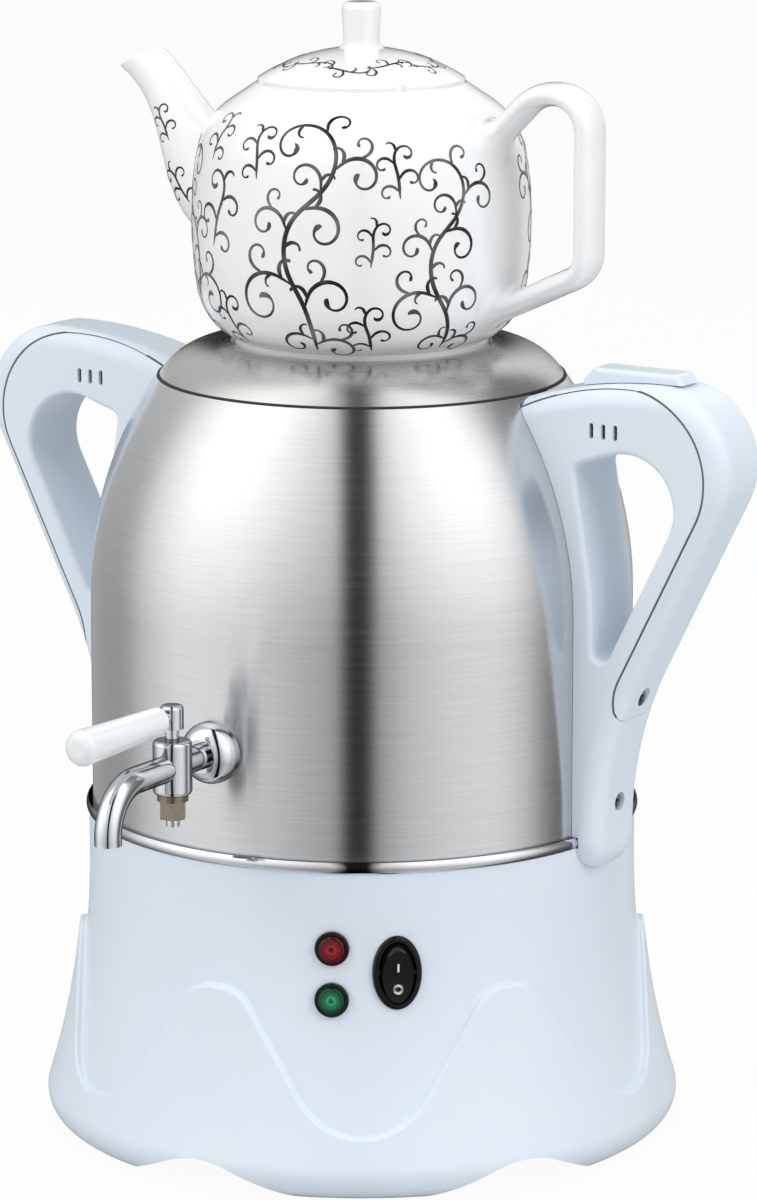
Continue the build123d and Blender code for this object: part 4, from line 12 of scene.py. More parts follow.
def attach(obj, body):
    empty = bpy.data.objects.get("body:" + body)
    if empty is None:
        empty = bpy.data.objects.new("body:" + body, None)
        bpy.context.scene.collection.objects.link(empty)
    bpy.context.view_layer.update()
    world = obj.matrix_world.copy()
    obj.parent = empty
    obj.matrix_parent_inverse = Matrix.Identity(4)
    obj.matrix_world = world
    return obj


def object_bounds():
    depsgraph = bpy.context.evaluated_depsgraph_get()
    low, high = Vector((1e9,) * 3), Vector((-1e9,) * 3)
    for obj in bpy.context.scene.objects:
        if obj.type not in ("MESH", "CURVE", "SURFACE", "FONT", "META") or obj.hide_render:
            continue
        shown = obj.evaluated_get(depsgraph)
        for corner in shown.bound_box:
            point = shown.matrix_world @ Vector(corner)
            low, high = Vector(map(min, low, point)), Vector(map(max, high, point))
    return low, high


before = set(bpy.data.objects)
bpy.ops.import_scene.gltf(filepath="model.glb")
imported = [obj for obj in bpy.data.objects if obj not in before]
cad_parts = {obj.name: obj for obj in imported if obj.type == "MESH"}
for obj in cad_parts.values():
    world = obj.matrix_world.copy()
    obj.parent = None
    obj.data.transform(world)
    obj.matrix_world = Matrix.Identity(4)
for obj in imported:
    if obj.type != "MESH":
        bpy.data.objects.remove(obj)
CAD_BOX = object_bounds()

LOG = logging.getLogger("tea_maker")
MM = 0.001

Colour = tuple[float, float, float, float]
Face = tuple[int, ...]
Pair = tuple[float, float]
Section = tuple[Vector, Vector, Vector]


class Body(str, Enum):
    """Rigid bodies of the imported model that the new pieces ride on."""

    SAMOVAR = "samovar"
    ROCKER = "rocker"
    VESSEL_LID = "vessel_lid"
    POT = "pot"
    POT_LID = "pot_lid"


class Side(float, Enum):
    """Which way a tendril curls, seen from outside."""

    LEFT = 1.0
    RIGHT = -1.0

    def other(self) -> "Side":
        """The opposite way."""
        return Side(-self.value)


def linear(colour: str) -> Colour:
    """Turn an sRGB hex colour into linear RGBA.

    Args:
        colour: Text such as "#dfe6ee".

    Returns:
        Four linear channels, the last one 1.
    """
    channels = [int(colour[i : i + 2], 16) / 255 for i in (1, 3, 5)]
    shares = [c / 12.92 if c <= 0.04045 else ((c + 0.055) / 1.055) ** 2.4 for c in channels]
    return (*shares, 1.0)


def add_node(
    tree: bpy.types.NodeTree, kind: str, inputs: dict | None = None, **settings: object
) -> bpy.types.Node:
    """Add a node with its settings, and set or link its inputs.

    Args:
        tree: Node tree that gets the node.
        kind: Blender's name for the node type.
        inputs: Input name or number to a value, or to an output socket to link.
        settings: Properties of the node itself.

    Returns:
        The new node.
    """
    node = tree.nodes.new(kind)
    for name, value in settings.items():
        setattr(node, name, value)
    for key, value in (inputs or {}).items():
        if isinstance(value, bpy.types.NodeSocket):
            tree.links.new(value, node.inputs[key])
        else:
            node.inputs[key].default_value = value
    return node


def set_ramp(ramp: bpy.types.ColorRamp, stops: list[tuple[float, Colour]]) -> None:
    """Give a colour ramp its stops.

    Args:
        ramp: Colour ramp of a node.
        stops: Position from 0 to 1 and linear colour of each stop, in order.
    """
    while len(ramp.elements) < len(stops):
        ramp.elements.new(1.0)
    for element, (position, colour) in zip(ramp.elements, stops):
        element.position = position
        element.color = colour


def bare_material(name: str) -> bpy.types.Material:
    """New material with an empty node tree.

    Args:
        name: Its name.

    Returns:
        The material.
    """
    made = bpy.data.materials.new(name)
    made.use_nodes = True
    made.node_tree.nodes.clear()
    return made


def mottled(
    tree: bpy.types.NodeTree,
    pattern: bpy.types.NodeSocket,
    colours: tuple[str, str],
    roughness: Pair,
) -> dict[str, object]:
    """Colour and roughness that vary together over a pattern.

    Args:
        tree: Node tree that gets the nodes.
        pattern: Socket of the pattern, from 0 to 1.
        colours: Hex colours where it is 0 and where it is 1.
        roughness: Roughness at the same places.

    Returns:
        The shader's inputs for both.
    """
    low, high = (linear(colour) for colour in colours)
    tint = add_node(
        tree, "ShaderNodeMix", {"Factor": pattern, "A": low, "B": high}, data_type="RGBA"
    )
    gloss = add_node(
        tree,
        "ShaderNodeMapRange",
        {"Value": pattern, "To Min": roughness[0], "To Max": roughness[1]},
    )
    return {"Base Color": tint.outputs["Result"], "Roughness": gloss.outputs["Result"]}


@dataclass(frozen=True)
class Finish:
    """A surface finish: a name and what its shader is given."""

    name: str

    def shade(self, tree: bpy.types.NodeTree, place: bpy.types.NodeSocket) -> dict[str, object]:
        """Add the pattern's nodes.

        Args:
            tree: Node tree that gets them.
            place: Object coordinates.

        Returns:
            Inputs of the shader.
        """
        raise NotImplementedError

    def material(self) -> bpy.types.Material:
        """Make the material, or find it if it is made.

        Returns:
            The material.
        """
        made = bpy.data.materials.get(self.name)
        if made:
            return made
        made = bare_material(self.name)
        tree = made.node_tree
        place = add_node(tree, "ShaderNodeTexCoord").outputs["Object"]
        shader = add_node(tree, "ShaderNodeBsdfPrincipled", self.shade(tree, place))
        add_node(tree, "ShaderNodeOutputMaterial", {"Surface": shader.outputs["BSDF"]})
        return made


@dataclass(frozen=True)
class MouldedPlastic(Finish):
    """Moulded or pressed body: even colour, a soft gloss and a faint orange peel."""

    colour: str
    cloud: str
    roughness: Pair
    peel_mm: float = 1.6
    peel_depth_mm: float = 0.02
    cloud_mm: float = 70.0
    coat: float = 0.0
    specular: float = 0.5

    def shade(self, tree: bpy.types.NodeTree, place: bpy.types.NodeSocket) -> dict[str, object]:
        """Cloud the colour and the gloss, and add the orange peel.

        Args:
            tree: Node tree that gets the nodes.
            place: Object coordinates.

        Returns:
            Inputs of the shader.
        """
        cloud = add_node(
            tree,
            "ShaderNodeTexNoise",
            {"Vector": place, "Scale": 1 / (self.cloud_mm * MM), "Detail": 2.0},
        )
        peel = add_node(
            tree,
            "ShaderNodeTexNoise",
            {"Vector": place, "Scale": 1 / (self.peel_mm * MM), "Detail": 1.0},
        )
        bump = add_node(
            tree,
            "ShaderNodeBump",
            {"Height": peel.outputs["Fac"], "Distance": self.peel_depth_mm * MM, "Strength": 0.5},
        )
        look = mottled(tree, cloud.outputs["Fac"], (self.cloud, self.colour), self.roughness)
        return look | {
            "Normal": bump.outputs["Normal"],
            "IOR": 1.53,
            "Specular IOR Level": self.specular,
            "Coat Weight": self.coat,
            "Coat Roughness": 0.08,
        }


@dataclass(frozen=True)
class BrushedSteel(Finish):
    """Stainless steel brushed round the axis: fine rings, reflections drawn out across them."""

    colour: str
    scratch: str
    roughness: Pair
    anisotropy: float
    # Real brush lines are about 0.1 mm wide; drawn coarser so that the render shows them.
    line_mm: float = 0.9
    run_share: float = 3.0
    depth_mm: float = 0.006

    def shade(self, tree: bpy.types.NodeTree, place: bpy.types.NodeSocket) -> dict[str, object]:
        """Streak the colour, the gloss and the surface round the axis.

        Args:
            tree: Node tree that gets the nodes.
            place: Object coordinates.

        Returns:
            Inputs of the shader.
        """
        axes = add_node(tree, "ShaderNodeSeparateXYZ", {"Vector": place}).outputs
        flat = add_node(tree, "ShaderNodeCombineXYZ", {"X": axes["X"], "Y": axes["Y"]})
        reach, turn = (
            add_node(tree, "ShaderNodeVectorMath", {0: flat.outputs["Vector"]}, operation=way)
            for way in ("LENGTH", "NORMALIZE")
        )
        spread = add_node(
            tree,
            "ShaderNodeVectorMath",
            {0: turn.outputs["Vector"], "Scale": self.run_share},
            operation="SCALE",
        )
        climb = add_node(
            tree, "ShaderNodeMath", {0: axes["Z"], 1: reach.outputs["Value"]}, operation="SUBTRACT"
        )
        lines = add_node(
            tree,
            "ShaderNodeMath",
            {0: climb.outputs["Value"], 1: 1 / (self.line_mm * MM)},
            operation="MULTIPLY",
        )
        rise = add_node(tree, "ShaderNodeCombineXYZ", {"Z": lines.outputs["Value"]})
        brush = add_node(
            tree,
            "ShaderNodeVectorMath",
            {0: spread.outputs["Vector"], 1: rise.outputs["Vector"]},
            operation="ADD",
        )
        streak = add_node(
            tree,
            "ShaderNodeTexNoise",
            {"Vector": brush.outputs["Vector"], "Scale": 1.0, "Detail": 4.0, "Roughness": 0.65},
        )
        bump = add_node(
            tree,
            "ShaderNodeBump",
            {"Height": streak.outputs["Fac"], "Distance": self.depth_mm * MM, "Strength": 0.4},
        )
        around = add_node(tree, "ShaderNodeTangent", direction_type="RADIAL", axis="Z")
        look = mottled(tree, streak.outputs["Fac"], (self.scratch, self.colour), self.roughness)
        return look | {
            "Metallic": 1.0,
            "Anisotropic": self.anisotropy,
            "Anisotropic Rotation": 0.25,
            "Tangent": around.outputs["Tangent"],
            "Normal": bump.outputs["Normal"],
        }


@dataclass(frozen=True)
class PlatedMetal(Finish):
    """Plated or bare metal without a grain: it reflects with faint smears from handling."""

    colour: str
    smear: str
    roughness: Pair
    smear_mm: float = 9.0
    edge: str = "#ffffff"

    def shade(self, tree: bpy.types.NodeTree, place: bpy.types.NodeSocket) -> dict[str, object]:
        """Smear the colour and the gloss.

        Args:
            tree: Node tree that gets the nodes.
            place: Object coordinates.

        Returns:
            Inputs of the shader.
        """
        smear = add_node(
            tree,
            "ShaderNodeTexNoise",
            {"Vector": place, "Scale": 1 / (self.smear_mm * MM), "Detail": 5.0, "Roughness": 0.6},
        )
        look = mottled(tree, smear.outputs["Fac"], (self.smear, self.colour), self.roughness)
        return look | {"Metallic": 1.0, "Specular Tint": linear(self.edge)}


@dataclass(frozen=True)
class Glaze(Finish):
    """Fired glaze on white ware: bright, wet-looking, with a slow wobble in the surface."""

    colour: str
    pool: str
    roughness: float
    wobble_mm: float = 22.0
    wobble_depth_mm: float = 0.12
    pool_mm: float = 45.0

    def shade(self, tree: bpy.types.NodeTree, place: bpy.types.NodeSocket) -> dict[str, object]:
        """Pool the colour and wobble the surface.

        Args:
            tree: Node tree that gets the nodes.
            place: Object coordinates.

        Returns:
            Inputs of the shader.
        """
        pool = add_node(
            tree,
            "ShaderNodeTexNoise",
            {"Vector": place, "Scale": 1 / (self.pool_mm * MM), "Detail": 2.0},
        )
        wobble = add_node(
            tree,
            "ShaderNodeTexNoise",
            {"Vector": place, "Scale": 1 / (self.wobble_mm * MM), "Detail": 1.0},
        )
        spread = add_node(
            tree,
            "ShaderNodeMapRange",
            {"Value": pool.outputs["Fac"], "From Min": 0.3, "From Max": 0.7},
        )
        tint = add_node(
            tree,
            "ShaderNodeMix",
            {"Factor": spread.outputs["Result"], "A": linear(self.pool), "B": linear(self.colour)},
            data_type="RGBA",
        )
        depth = self.wobble_depth_mm * MM
        bump = add_node(
            tree,
            "ShaderNodeBump",
            {"Height": wobble.outputs["Fac"], "Distance": depth, "Strength": 0.35},
        )
        return {
            "Base Color": tint.outputs["Result"],
            "Roughness": self.roughness,
            "IOR": 1.5,
            "Coat Weight": 0.6,
            "Coat Roughness": 0.04,
            "Normal": bump.outputs["Normal"],
        }


@dataclass(frozen=True)
class FiredInk(Finish):
    """Ceramic colour fired on the glaze, dense in places and worn to grey in others."""

    dense: str
    worn: str
    patch_mm: float = 16.0

    def shade(self, tree: bpy.types.NodeTree, place: bpy.types.NodeSocket) -> dict[str, object]:
        """Wear the colour in patches.

        Args:
            tree: Node tree that gets the nodes.
            place: Object coordinates.

        Returns:
            Inputs of the shader.
        """
        patch = add_node(
            tree,
            "ShaderNodeTexNoise",
            {"Vector": place, "Scale": 1 / (self.patch_mm * MM), "Detail": 2.0},
        )
        wear = add_node(
            tree,
            "ShaderNodeMapRange",
            {"Value": patch.outputs["Fac"], "From Min": 0.42, "From Max": 0.72},
        )
        tint = add_node(
            tree,
            "ShaderNodeMix",
            {"Factor": wear.outputs["Result"], "A": linear(self.dense), "B": linear(self.worn)},
            data_type="RGBA",
        )
        return {
            "Base Color": tint.outputs["Result"],
            "Roughness": 0.24,
            "IOR": 1.5,
            "Specular IOR Level": 0.35,
            "Coat Weight": 0.2,
            "Coat Roughness": 0.05,
        }


@dataclass(frozen=True)
class PilotLens(Finish):
    """Moulded acrylic lens, deeper towards its rim, with a painted highlight ring in it."""

    centre: tuple[float, float, float]
    facing: tuple[float, float, float]
    # Share of the lens radius and colour there; the brightest stop is a painted highlight ring.
    rings: tuple[tuple[float, str], ...]
    radius_mm: float = 5.2
    grain_mm: float = 1.1
    # How far the grain blurs the rings, as a share of the radius.
    blur: float = 0.16

    def shade(self, tree: bpy.types.NodeTree, place: bpy.types.NodeSocket) -> dict[str, object]:
        """Colour the lens in rings about its own axis.

        Args:
            tree: Node tree that gets the nodes.
            place: Object coordinates.

        Returns:
            Inputs of the shader.
        """
        apart = add_node(
            tree, "ShaderNodeVectorMath", {0: place, 1: self.centre}, operation="SUBTRACT"
        )
        aside = add_node(
            tree,
            "ShaderNodeVectorMath",
            {0: apart.outputs["Vector"], 1: self.facing},
            operation="CROSS_PRODUCT",
        )
        reach = add_node(
            tree, "ShaderNodeVectorMath", {0: aside.outputs["Vector"]}, operation="LENGTH"
        )
        grain = add_node(
            tree,
            "ShaderNodeTexNoise",
            {"Vector": place, "Scale": 1 / (self.grain_mm * MM), "Detail": 1.0},
        )
        share = add_node(
            tree,
            "ShaderNodeMapRange",
            {"Value": reach.outputs["Value"], "From Max": self.radius_mm * MM},
        )
        blurred = add_node(
            tree,
            "ShaderNodeMath",
            {0: grain.outputs["Fac"], 1: self.blur, 2: share.outputs["Result"]},
            operation="MULTIPLY_ADD",
        )
        even = add_node(
            tree,
            "ShaderNodeMath",
            {0: blurred.outputs["Value"], 1: self.blur / 2},
            operation="SUBTRACT",
        )
        tint = add_node(tree, "ShaderNodeValToRGB", {"Fac": even.outputs["Value"]})
        # The brightest stop paints a highlight ring on the lens.
        set_ramp(tint.color_ramp, [(ring, linear(colour)) for ring, colour in self.rings])
        return {
            "Base Color": tint.outputs["Color"],
            "Roughness": 0.12,
            "IOR": 1.49,
            "Specular IOR Level": 0.3,
            "Coat Weight": 0.2,
            "Coat Roughness": 0.05,
        }


# Base, handles and latch: cool white with a soft sheen.
WHITE_ABS = MouldedPlastic("moulded_white_abs", "#e5eff8", "#dfe9f4", (0.26, 0.34))
# Tap grip: urea polished to a wet white.
GRIP_ENAMEL = MouldedPlastic("polished_white_urea", "#f3f5f7", "#edf0f3", (0.12, 0.18), coat=0.5)
# Slots, controls and inlet: black with a dull sheen.
BLACK_NYLON = MouldedPlastic(
    "moulded_black_nylon", "#121315", "#0e0f10", (0.3, 0.42), specular=0.2
)
# Switch: deep black that mirrors the light a little.
BLACK_GLOSS = MouldedPlastic(
    "polished_black_abs", "#0a0a0c", "#101012", (0.1, 0.16), coat=0.12, specular=0.2
)
# Rims of the lamps: tinted acrylic, almost black at this thickness.
RED_RIM = MouldedPlastic(
    "deep_red_acrylic", "#200305", "#2a0407", (0.1, 0.16), coat=0.1, specular=0.2
)
GREEN_RIM = MouldedPlastic(
    "deep_green_acrylic", "#031b13", "#04251a", (0.1, 0.16), coat=0.1, specular=0.2
)
# Joints of the handles: painted shadow, the grey that a narrow gap shows.
SEAM_SHADE = MouldedPlastic("seam_shadow", "#5c646c", "#4e565e", (0.6, 0.75))
# Marks of the switch: flat printed white.
PRINT_WHITE = MouldedPlastic("pad_print_white", "#e6e6e4", "#d6d6d4", (0.4, 0.5))
# Feet, seals and the lid's lip: matt black with a fine grain.
RUBBER = MouldedPlastic("black_rubber", "#1c1c1d", "#242425", (0.6, 0.75), peel_mm=0.8)
# Wires: matt brick-red silicone.
WIRE_SLEEVE = MouldedPlastic("silicone_wire_sleeve", "#8c3526", "#7a2c20", (0.45, 0.6))
# Terminal block: pressed steatite, a matt cream.
BLOCK_CLAY = MouldedPlastic("steatite", "#ddd8cb", "#d2cdbf", (0.5, 0.65), peel_mm=0.5)
# Vessel: sheet brushed round its axis, so highlights stretch up and down it.
STEEL = BrushedSteel("brushed_stainless_steel", "#e2e3e4", "#cdcecf", (0.2, 0.27), 0.85)
# Lid: the same sheet, brushed a little duller.
LID_STEEL = BrushedSteel("brushed_lid_steel", "#d9d8d6", "#c2c1bf", (0.24, 0.31), 0.7)
# Tap and trim ring: a bright mirror, darker at its edges.
CHROME = PlatedMetal("bright_chrome", "#e6e9ec", "#d3d7db", (0.04, 0.09), edge="#63686e")
# Screws, studs and tabs: a soft grey sheen.
ZINC = PlatedMetal("zinc_plate", "#b9bbbd", "#9a9c9f", (0.28, 0.4))
# End nut and washer of the tap: bare brass gone dull and grey.
DULL_BRASS = PlatedMetal("dull_brass", "#a39c8c", "#746d60", (0.2, 0.34), smear_mm=3.0)
# Heat spreader: cast, grey and open-grained.
ALUMINIUM = PlatedMetal("cast_aluminium", "#b4b6b8", "#a2a4a6", (0.4, 0.55), smear_mm=4.0)
# Heating element: darkened by heat.
SHEATH = PlatedMetal("oxidised_sheath", "#5d5b5a", "#45413f", (0.4, 0.55), smear_mm=6.0)
# Teapot: white ware under a wet glaze.
PORCELAIN = Glaze("glazed_porcelain", "#f8f9fa", "#f3f5f7", 0.14)
# Scrollwork: black ceramic colour, worn to grey in patches.
SCROLL_INK = FiredInk("fired_scroll_ink", "#0e0e10", "#7a7a7c")

FINISHES: dict[Finish, tuple[str, ...]] = {
    WHITE_ABS: (
        "base_housing", "base_plate", "lid_latch", "right_handle_body", "right_handle_cap",
        "left_handle_body", "left_handle_cap",
    ),
    GRIP_ENAMEL: ("tap_grip",),
    BLACK_NYLON: ("boil_thermostat", "warm_thermostat", "power_inlet"),
    BLACK_GLOSS: ("switch_frame", "switch_rocker"),
    RED_RIM: ("red_lamp_bezel",),
    GREEN_RIM: ("green_lamp_bezel",),
    RUBBER: ("rubber_feet", "tap_seal", "lid_seal"),
    WIRE_SLEEVE: ("wiring",),
    BLOCK_CLAY: ("terminal_block",),
    STEEL: ("vessel_shell", "vessel_floor", "handle_brackets", "lid_collar"),
    LID_STEEL: ("lid_dome",),
    CHROME: ("trim_ring", "tap_rosette", "tap_body", "tap_plug", "tap_lever"),
    DULL_BRASS: ("tap_washer", "tap_nut"),
    ZINC: (
        "base_screws", "thermal_fuse", "mounting_studs", "stud_nuts", "inlet_pins",
        "switch_tabs", "tap_back_nut", "handle_screws",
    ),
    ALUMINIUM: ("heat_spreader",),
    SHEATH: ("heating_element",),
    PORCELAIN: ("teapot", "teapot_lid"),
}


def dress(name: str, finish: Finish) -> None:
    """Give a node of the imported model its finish.

    Args:
        name: Name of the node.
        finish: Finish that it gets.
    """
    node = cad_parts[name]
    node.data.materials.clear()
    node.data.materials.append(finish.material())
    LOG.info("%s: %s", name, finish.name)


def dress_nodes() -> None:
    """Give the nodes that need no place of their own in the pattern their finishes."""
    for finish, names in FINISHES.items():
        for name in names:
            dress(name, finish)


def raw_piece(
    name: str, points: list[Vector], edges: list[tuple[int, int]], faces: list[Face]
) -> bpy.types.Object:
    """New object made from points, active and selected alone.

    Args:
        name: Its name.
        points: Its points, in metres.
        edges: Its loose edges.
        faces: Its faces.

    Returns:
        The object.
    """
    mesh = bpy.data.meshes.new(name)
    mesh.from_pydata(points, edges, faces)
    piece = bpy.data.objects.new(name, mesh)
    bpy.context.collection.objects.link(piece)
    bpy.ops.object.select_all(action="DESELECT")
    bpy.context.view_layer.objects.active = piece
    piece.select_set(True)
    return piece


def face_out() -> None:
    """Turn the faces of the active piece outwards."""
    bpy.ops.object.mode_set(mode="EDIT")
    bpy.ops.mesh.select_all(action="SELECT")
    bpy.ops.mesh.normals_make_consistent(inside=False)
    bpy.ops.object.mode_set(mode="OBJECT")


def finish_piece(piece: bpy.types.Object, name: str, body: Body, finish: Finish) -> None:
    """Settle a modelled piece: transforms into the mesh, name, finish and body.

    Args:
        piece: The piece, active and selected alone.
        name: Its name.
        body: Body that carries it.
        finish: Its finish.
    """
    bpy.ops.object.transform_apply(location=True, rotation=True, scale=True)
    piece.name = name
    piece.data.materials.clear()
    piece.data.materials.append(finish.material())
    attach(piece, body.value)
    LOG.info("%s: %d faces", name, len(piece.data.polygons))


def outward(azimuth: float) -> Vector:
    """Level unit vector at an azimuth, 0 towards the tap and a quarter turn towards +X.

    Args:
        azimuth: Angle in radians.

    Returns:
        The vector.
    """
    return Vector((sin(azimuth), -cos(azimuth), 0))


def between(places: tuple[Pair, ...], share: float) -> float:
    """Value on a broken line.

    Args:
        places: Share and value of each corner, in order.
        share: Where to read it.

    Returns:
        The value there.
    """
    for (start, low), (end, high) in zip(places, places[1:]):
        if share <= end:
            return low + (high - low) * (share - start) / (end - start)
    return places[-1][1]


def skin_of(node: str) -> BVHTree:
    """Search tree of a node's surface.

    Args:
        node: Name of the node.

    Returns:
        The tree, in the row frame.
    """
    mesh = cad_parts[node].data
    points = [vertex.co.copy() for vertex in mesh.vertices]
    return BVHTree.FromPolygons(points, [tuple(face.vertices) for face in mesh.polygons])


class TurnedChart:
    """Wall of a turned piece, charted by azimuth and by distance along its profile."""

    SAMPLES = 160
    # How far outside the wall a probe starts and how far off the wall it may land, in metres.
    PROBE = 0.03
    STRAY = 0.0012

    def __init__(self, node: str, low: float, high: float) -> None:
        """Read the profile on the side that has neither spout nor handle.

        Args:
            node: Node that has the wall.
            low: Height where the profile starts, in metres.
            high: Height where it ends.
        """
        self.skin = skin_of(node)
        self.places: list[tuple[float, float, float]] = []
        way = 0.0
        for index in range(self.SAMPLES + 1):
            height = low + (high - low) * index / self.SAMPLES
            hit = self.skin.ray_cast(outward(0.0) + Vector((0, 0, height)), -outward(0.0))[0]
            reach = hypot(hit.x, hit.y)
            if self.places:
                last = self.places[-1]
                way += hypot(reach - last[1], height - last[2])
            self.places.append((way, reach, height))
        self.length = way

    def wall(self, way: float) -> tuple[float, float, Vector]:
        """Reach, height and slope of the wall at a distance along its profile.

        Args:
            way: Distance from the profile's low end.

        Returns:
            Distance from the axis, height, and the unit direction up the wall as (out, up).
        """
        way = min(max(way, 0.0), self.length)
        for low, high in zip(self.places, self.places[1:]):
            if way <= high[0]:
                share = (way - low[0]) / (high[0] - low[0])
                slope = Vector((high[1] - low[1], high[2] - low[2])).normalized()
                reach = low[1] + (high[1] - low[1]) * share
                return reach, low[2] + (high[2] - low[2]) * share, slope
        return self.places[-1][1], self.places[-1][2], Vector((0, 1))

    def stretch(self, way: float) -> float:
        """Azimuth per metre of travel across the wall."""
        return 1 / self.wall(way)[0]

    def point(self, across: float, way: float, lift: float) -> Vector | None:
        """Point over the wall.

        Args:
            across: Azimuth in radians.
            way: Distance along the profile.
            lift: Height over the wall.

        Returns:
            The point, or None where the wall ends or something stands on it.
        """
        if not 0.0 <= way <= self.length:
            return None
        reach, height, slope = self.wall(way)
        out = outward(across)
        normal = out * slope.y - Vector((0, 0, slope.x))
        base = out * reach + Vector((0, 0, height))
        hit, facing, _, gap = self.skin.ray_cast(base + normal * self.PROBE, -normal)
        if hit is None or abs(gap - self.PROBE) > self.STRAY:
            return None
        return hit + facing * lift


class FlankChart:
    """Side of the spout, charted by X and Z and seen along Y."""

    # How far beside the pot a probe starts, in metres, and the least lean that it may land on.
    PROBE = 0.2
    LEAN = 0.25

    def __init__(self, node: str, side: float) -> None:
        """Keep the surface and the side.

        Args:
            node: Node that has the spout.
            side: -1 for the side towards the tap and 1 for the other.
        """
        self.skin = skin_of(node)
        self.side = side

    def stretch(self, way: float) -> float:
        """Travel in X per metre across, the same everywhere."""
        return 1.0

    def point(self, across: float, way: float, lift: float) -> Vector | None:
        """Point over the spout's side.

        Args:
            across: X in metres.
            way: Z in metres.
            lift: Height over the surface.

        Returns:
            The point, or None past the spout's edge.
        """
        origin = Vector((across, self.PROBE * self.side, way))
        hit, facing, _, _ = self.skin.ray_cast(origin, Vector((0, -self.side, 0)))
        if hit is None or facing.y * self.side < self.LEAN:
            return None
        return hit + facing * lift


@dataclass(frozen=True)
class Tendril:
    """One brush stroke: how long, how it bends and how wide it is along its length.

    Bends are turns of the heading in radians per metre, widths are in metres.
    """

    length: float
    bends: tuple[Pair, ...]
    widths: tuple[Pair, ...]
    branches: tuple["Branch", ...] = ()


@dataclass(frozen=True)
class Branch:
    """A tendril that leaves another one."""

    share: float
    side: Side
    angle: float
    scale: float
    tendril: Tendril


def widths_mm(*places: Pair) -> tuple[Pair, ...]:
    """Widths along a stroke, from millimetres.

    Args:
        places: Share of the length and width there.

    Returns:
        The same in metres.
    """
    return tuple((share, width * MM) for share, width in places)


def curl(length: float, wide: float, tight: float, bulb: float) -> Tendril:
    """Tendril that winds itself up to a bulb.

    Args:
        length: Length of the stroke, in millimetres.
        wide: Radius where it starts to wind, in millimetres.
        tight: Radius at the bulb.
        bulb: Width of the bulb.

    Returns:
        The tendril.
    """
    shares = (0.14, 0.35, 0.55, 0.72, 0.85, 0.94, 1.0)
    winding = tuple((s, 1 / ((wide + (tight - wide) * s) * MM)) for s in shares)
    stem = ((0, 0.5), (0.1, 1.3), (0.3, 1.7), (0.6, 1.2), (0.88, 0.9))
    end = ((0.95, bulb), (0.98, bulb * 0.85), (1, 0.4))
    # It leaves its stem with a slight bend the other way.
    lead_in = (0, -12.0)
    return Tendril(length * MM, (lead_in, *winding), widths_mm(*stem, *end))


def forked(stroke: Tendril, *branches: Branch) -> Tendril:
    """The same stroke with more strokes that leave it.

    Args:
        stroke: Stroke to add to.
        branches: What leaves it.

    Returns:
        The new tendril.
    """
    return Tendril(stroke.length, stroke.bends, stroke.widths, branches)


HOOK = curl(9.5, 5.0, 1.1, 1.9)
SMALL_CURL = curl(24.0, 7.5, 1.6, 2.0)
CURL = curl(37.0, 10.5, 1.9, 2.2)
WIDE_CURL = curl(58.0, 15.0, 2.4, 2.4)
BUDDED_CURL = forked(CURL, Branch(0.13, Side.RIGHT, 44, 1.0, HOOK))
PAIRED_CURL = forked(
    CURL,
    Branch(0.1, Side.RIGHT, 40, 1.0, HOOK),
    Branch(0.3, Side.RIGHT, 34, 0.72, SMALL_CURL),
)
GRAND_CURL = forked(
    WIDE_CURL,
    Branch(0.09, Side.RIGHT, 42, 1.2, HOOK),
    Branch(0.24, Side.RIGHT, 36, 0.95, SMALL_CURL),
    Branch(0.16, Side.LEFT, 34, 0.8, HOOK),
)
TALL_VINE = Tendril(
    136 * MM,
    (
        (0, 16.0), (0.16, 30.0), (0.25, -36.0), (0.42, -52.0), (0.52, 34.0),
        (0.64, 66.0), (0.8, 92.0), (0.9, 165.0), (1, 460.0),
    ),
    widths_mm(
        (0, 0.6), (0.06, 1.8), (0.3, 2.0), (0.6, 1.7),
        (0.86, 1.2), (0.96, 1.0), (0.98, 2.4), (1, 0.5),
    ),
    (
        Branch(0.02, Side.RIGHT, 54, 0.95, PAIRED_CURL),
        Branch(0.04, Side.LEFT, 56, 0.8, BUDDED_CURL),
        Branch(0.15, Side.RIGHT, 36, 1.1, PAIRED_CURL),
        Branch(0.22, Side.LEFT, 34, 1.0, GRAND_CURL),
        Branch(0.33, Side.RIGHT, 44, 1.0, HOOK),
        Branch(0.38, Side.LEFT, 40, 0.9, PAIRED_CURL),
        Branch(0.46, Side.RIGHT, 30, 1.05, BUDDED_CURL),
        Branch(0.53, Side.LEFT, 38, 0.8, BUDDED_CURL),
        Branch(0.6, Side.RIGHT, 32, 1.0, PAIRED_CURL),
        Branch(0.72, Side.RIGHT, 40, 0.85, SMALL_CURL),
        Branch(0.8, Side.LEFT, 46, 0.8, HOOK),
    ),
)
SPRIG = Tendril(
    44 * MM,
    ((0, 20.0), (0.28, -40.0), (0.4, 60.0), (0.6, 170.0), (0.84, 330.0), (1, 620.0)),
    widths_mm((0, 0.5), (0.12, 1.6), (0.5, 1.5), (0.86, 0.9), (0.94, 2.0), (0.98, 1.7), (1, 0.4)),
    (
        Branch(0.06, Side.RIGHT, 44, 0.8, SMALL_CURL),
        Branch(0.2, Side.LEFT, 38, 0.9, SMALL_CURL),
        Branch(0.4, Side.RIGHT, 36, 0.8, SMALL_CURL),
        Branch(0.56, Side.RIGHT, 44, 0.9, HOOK),
    ),
)
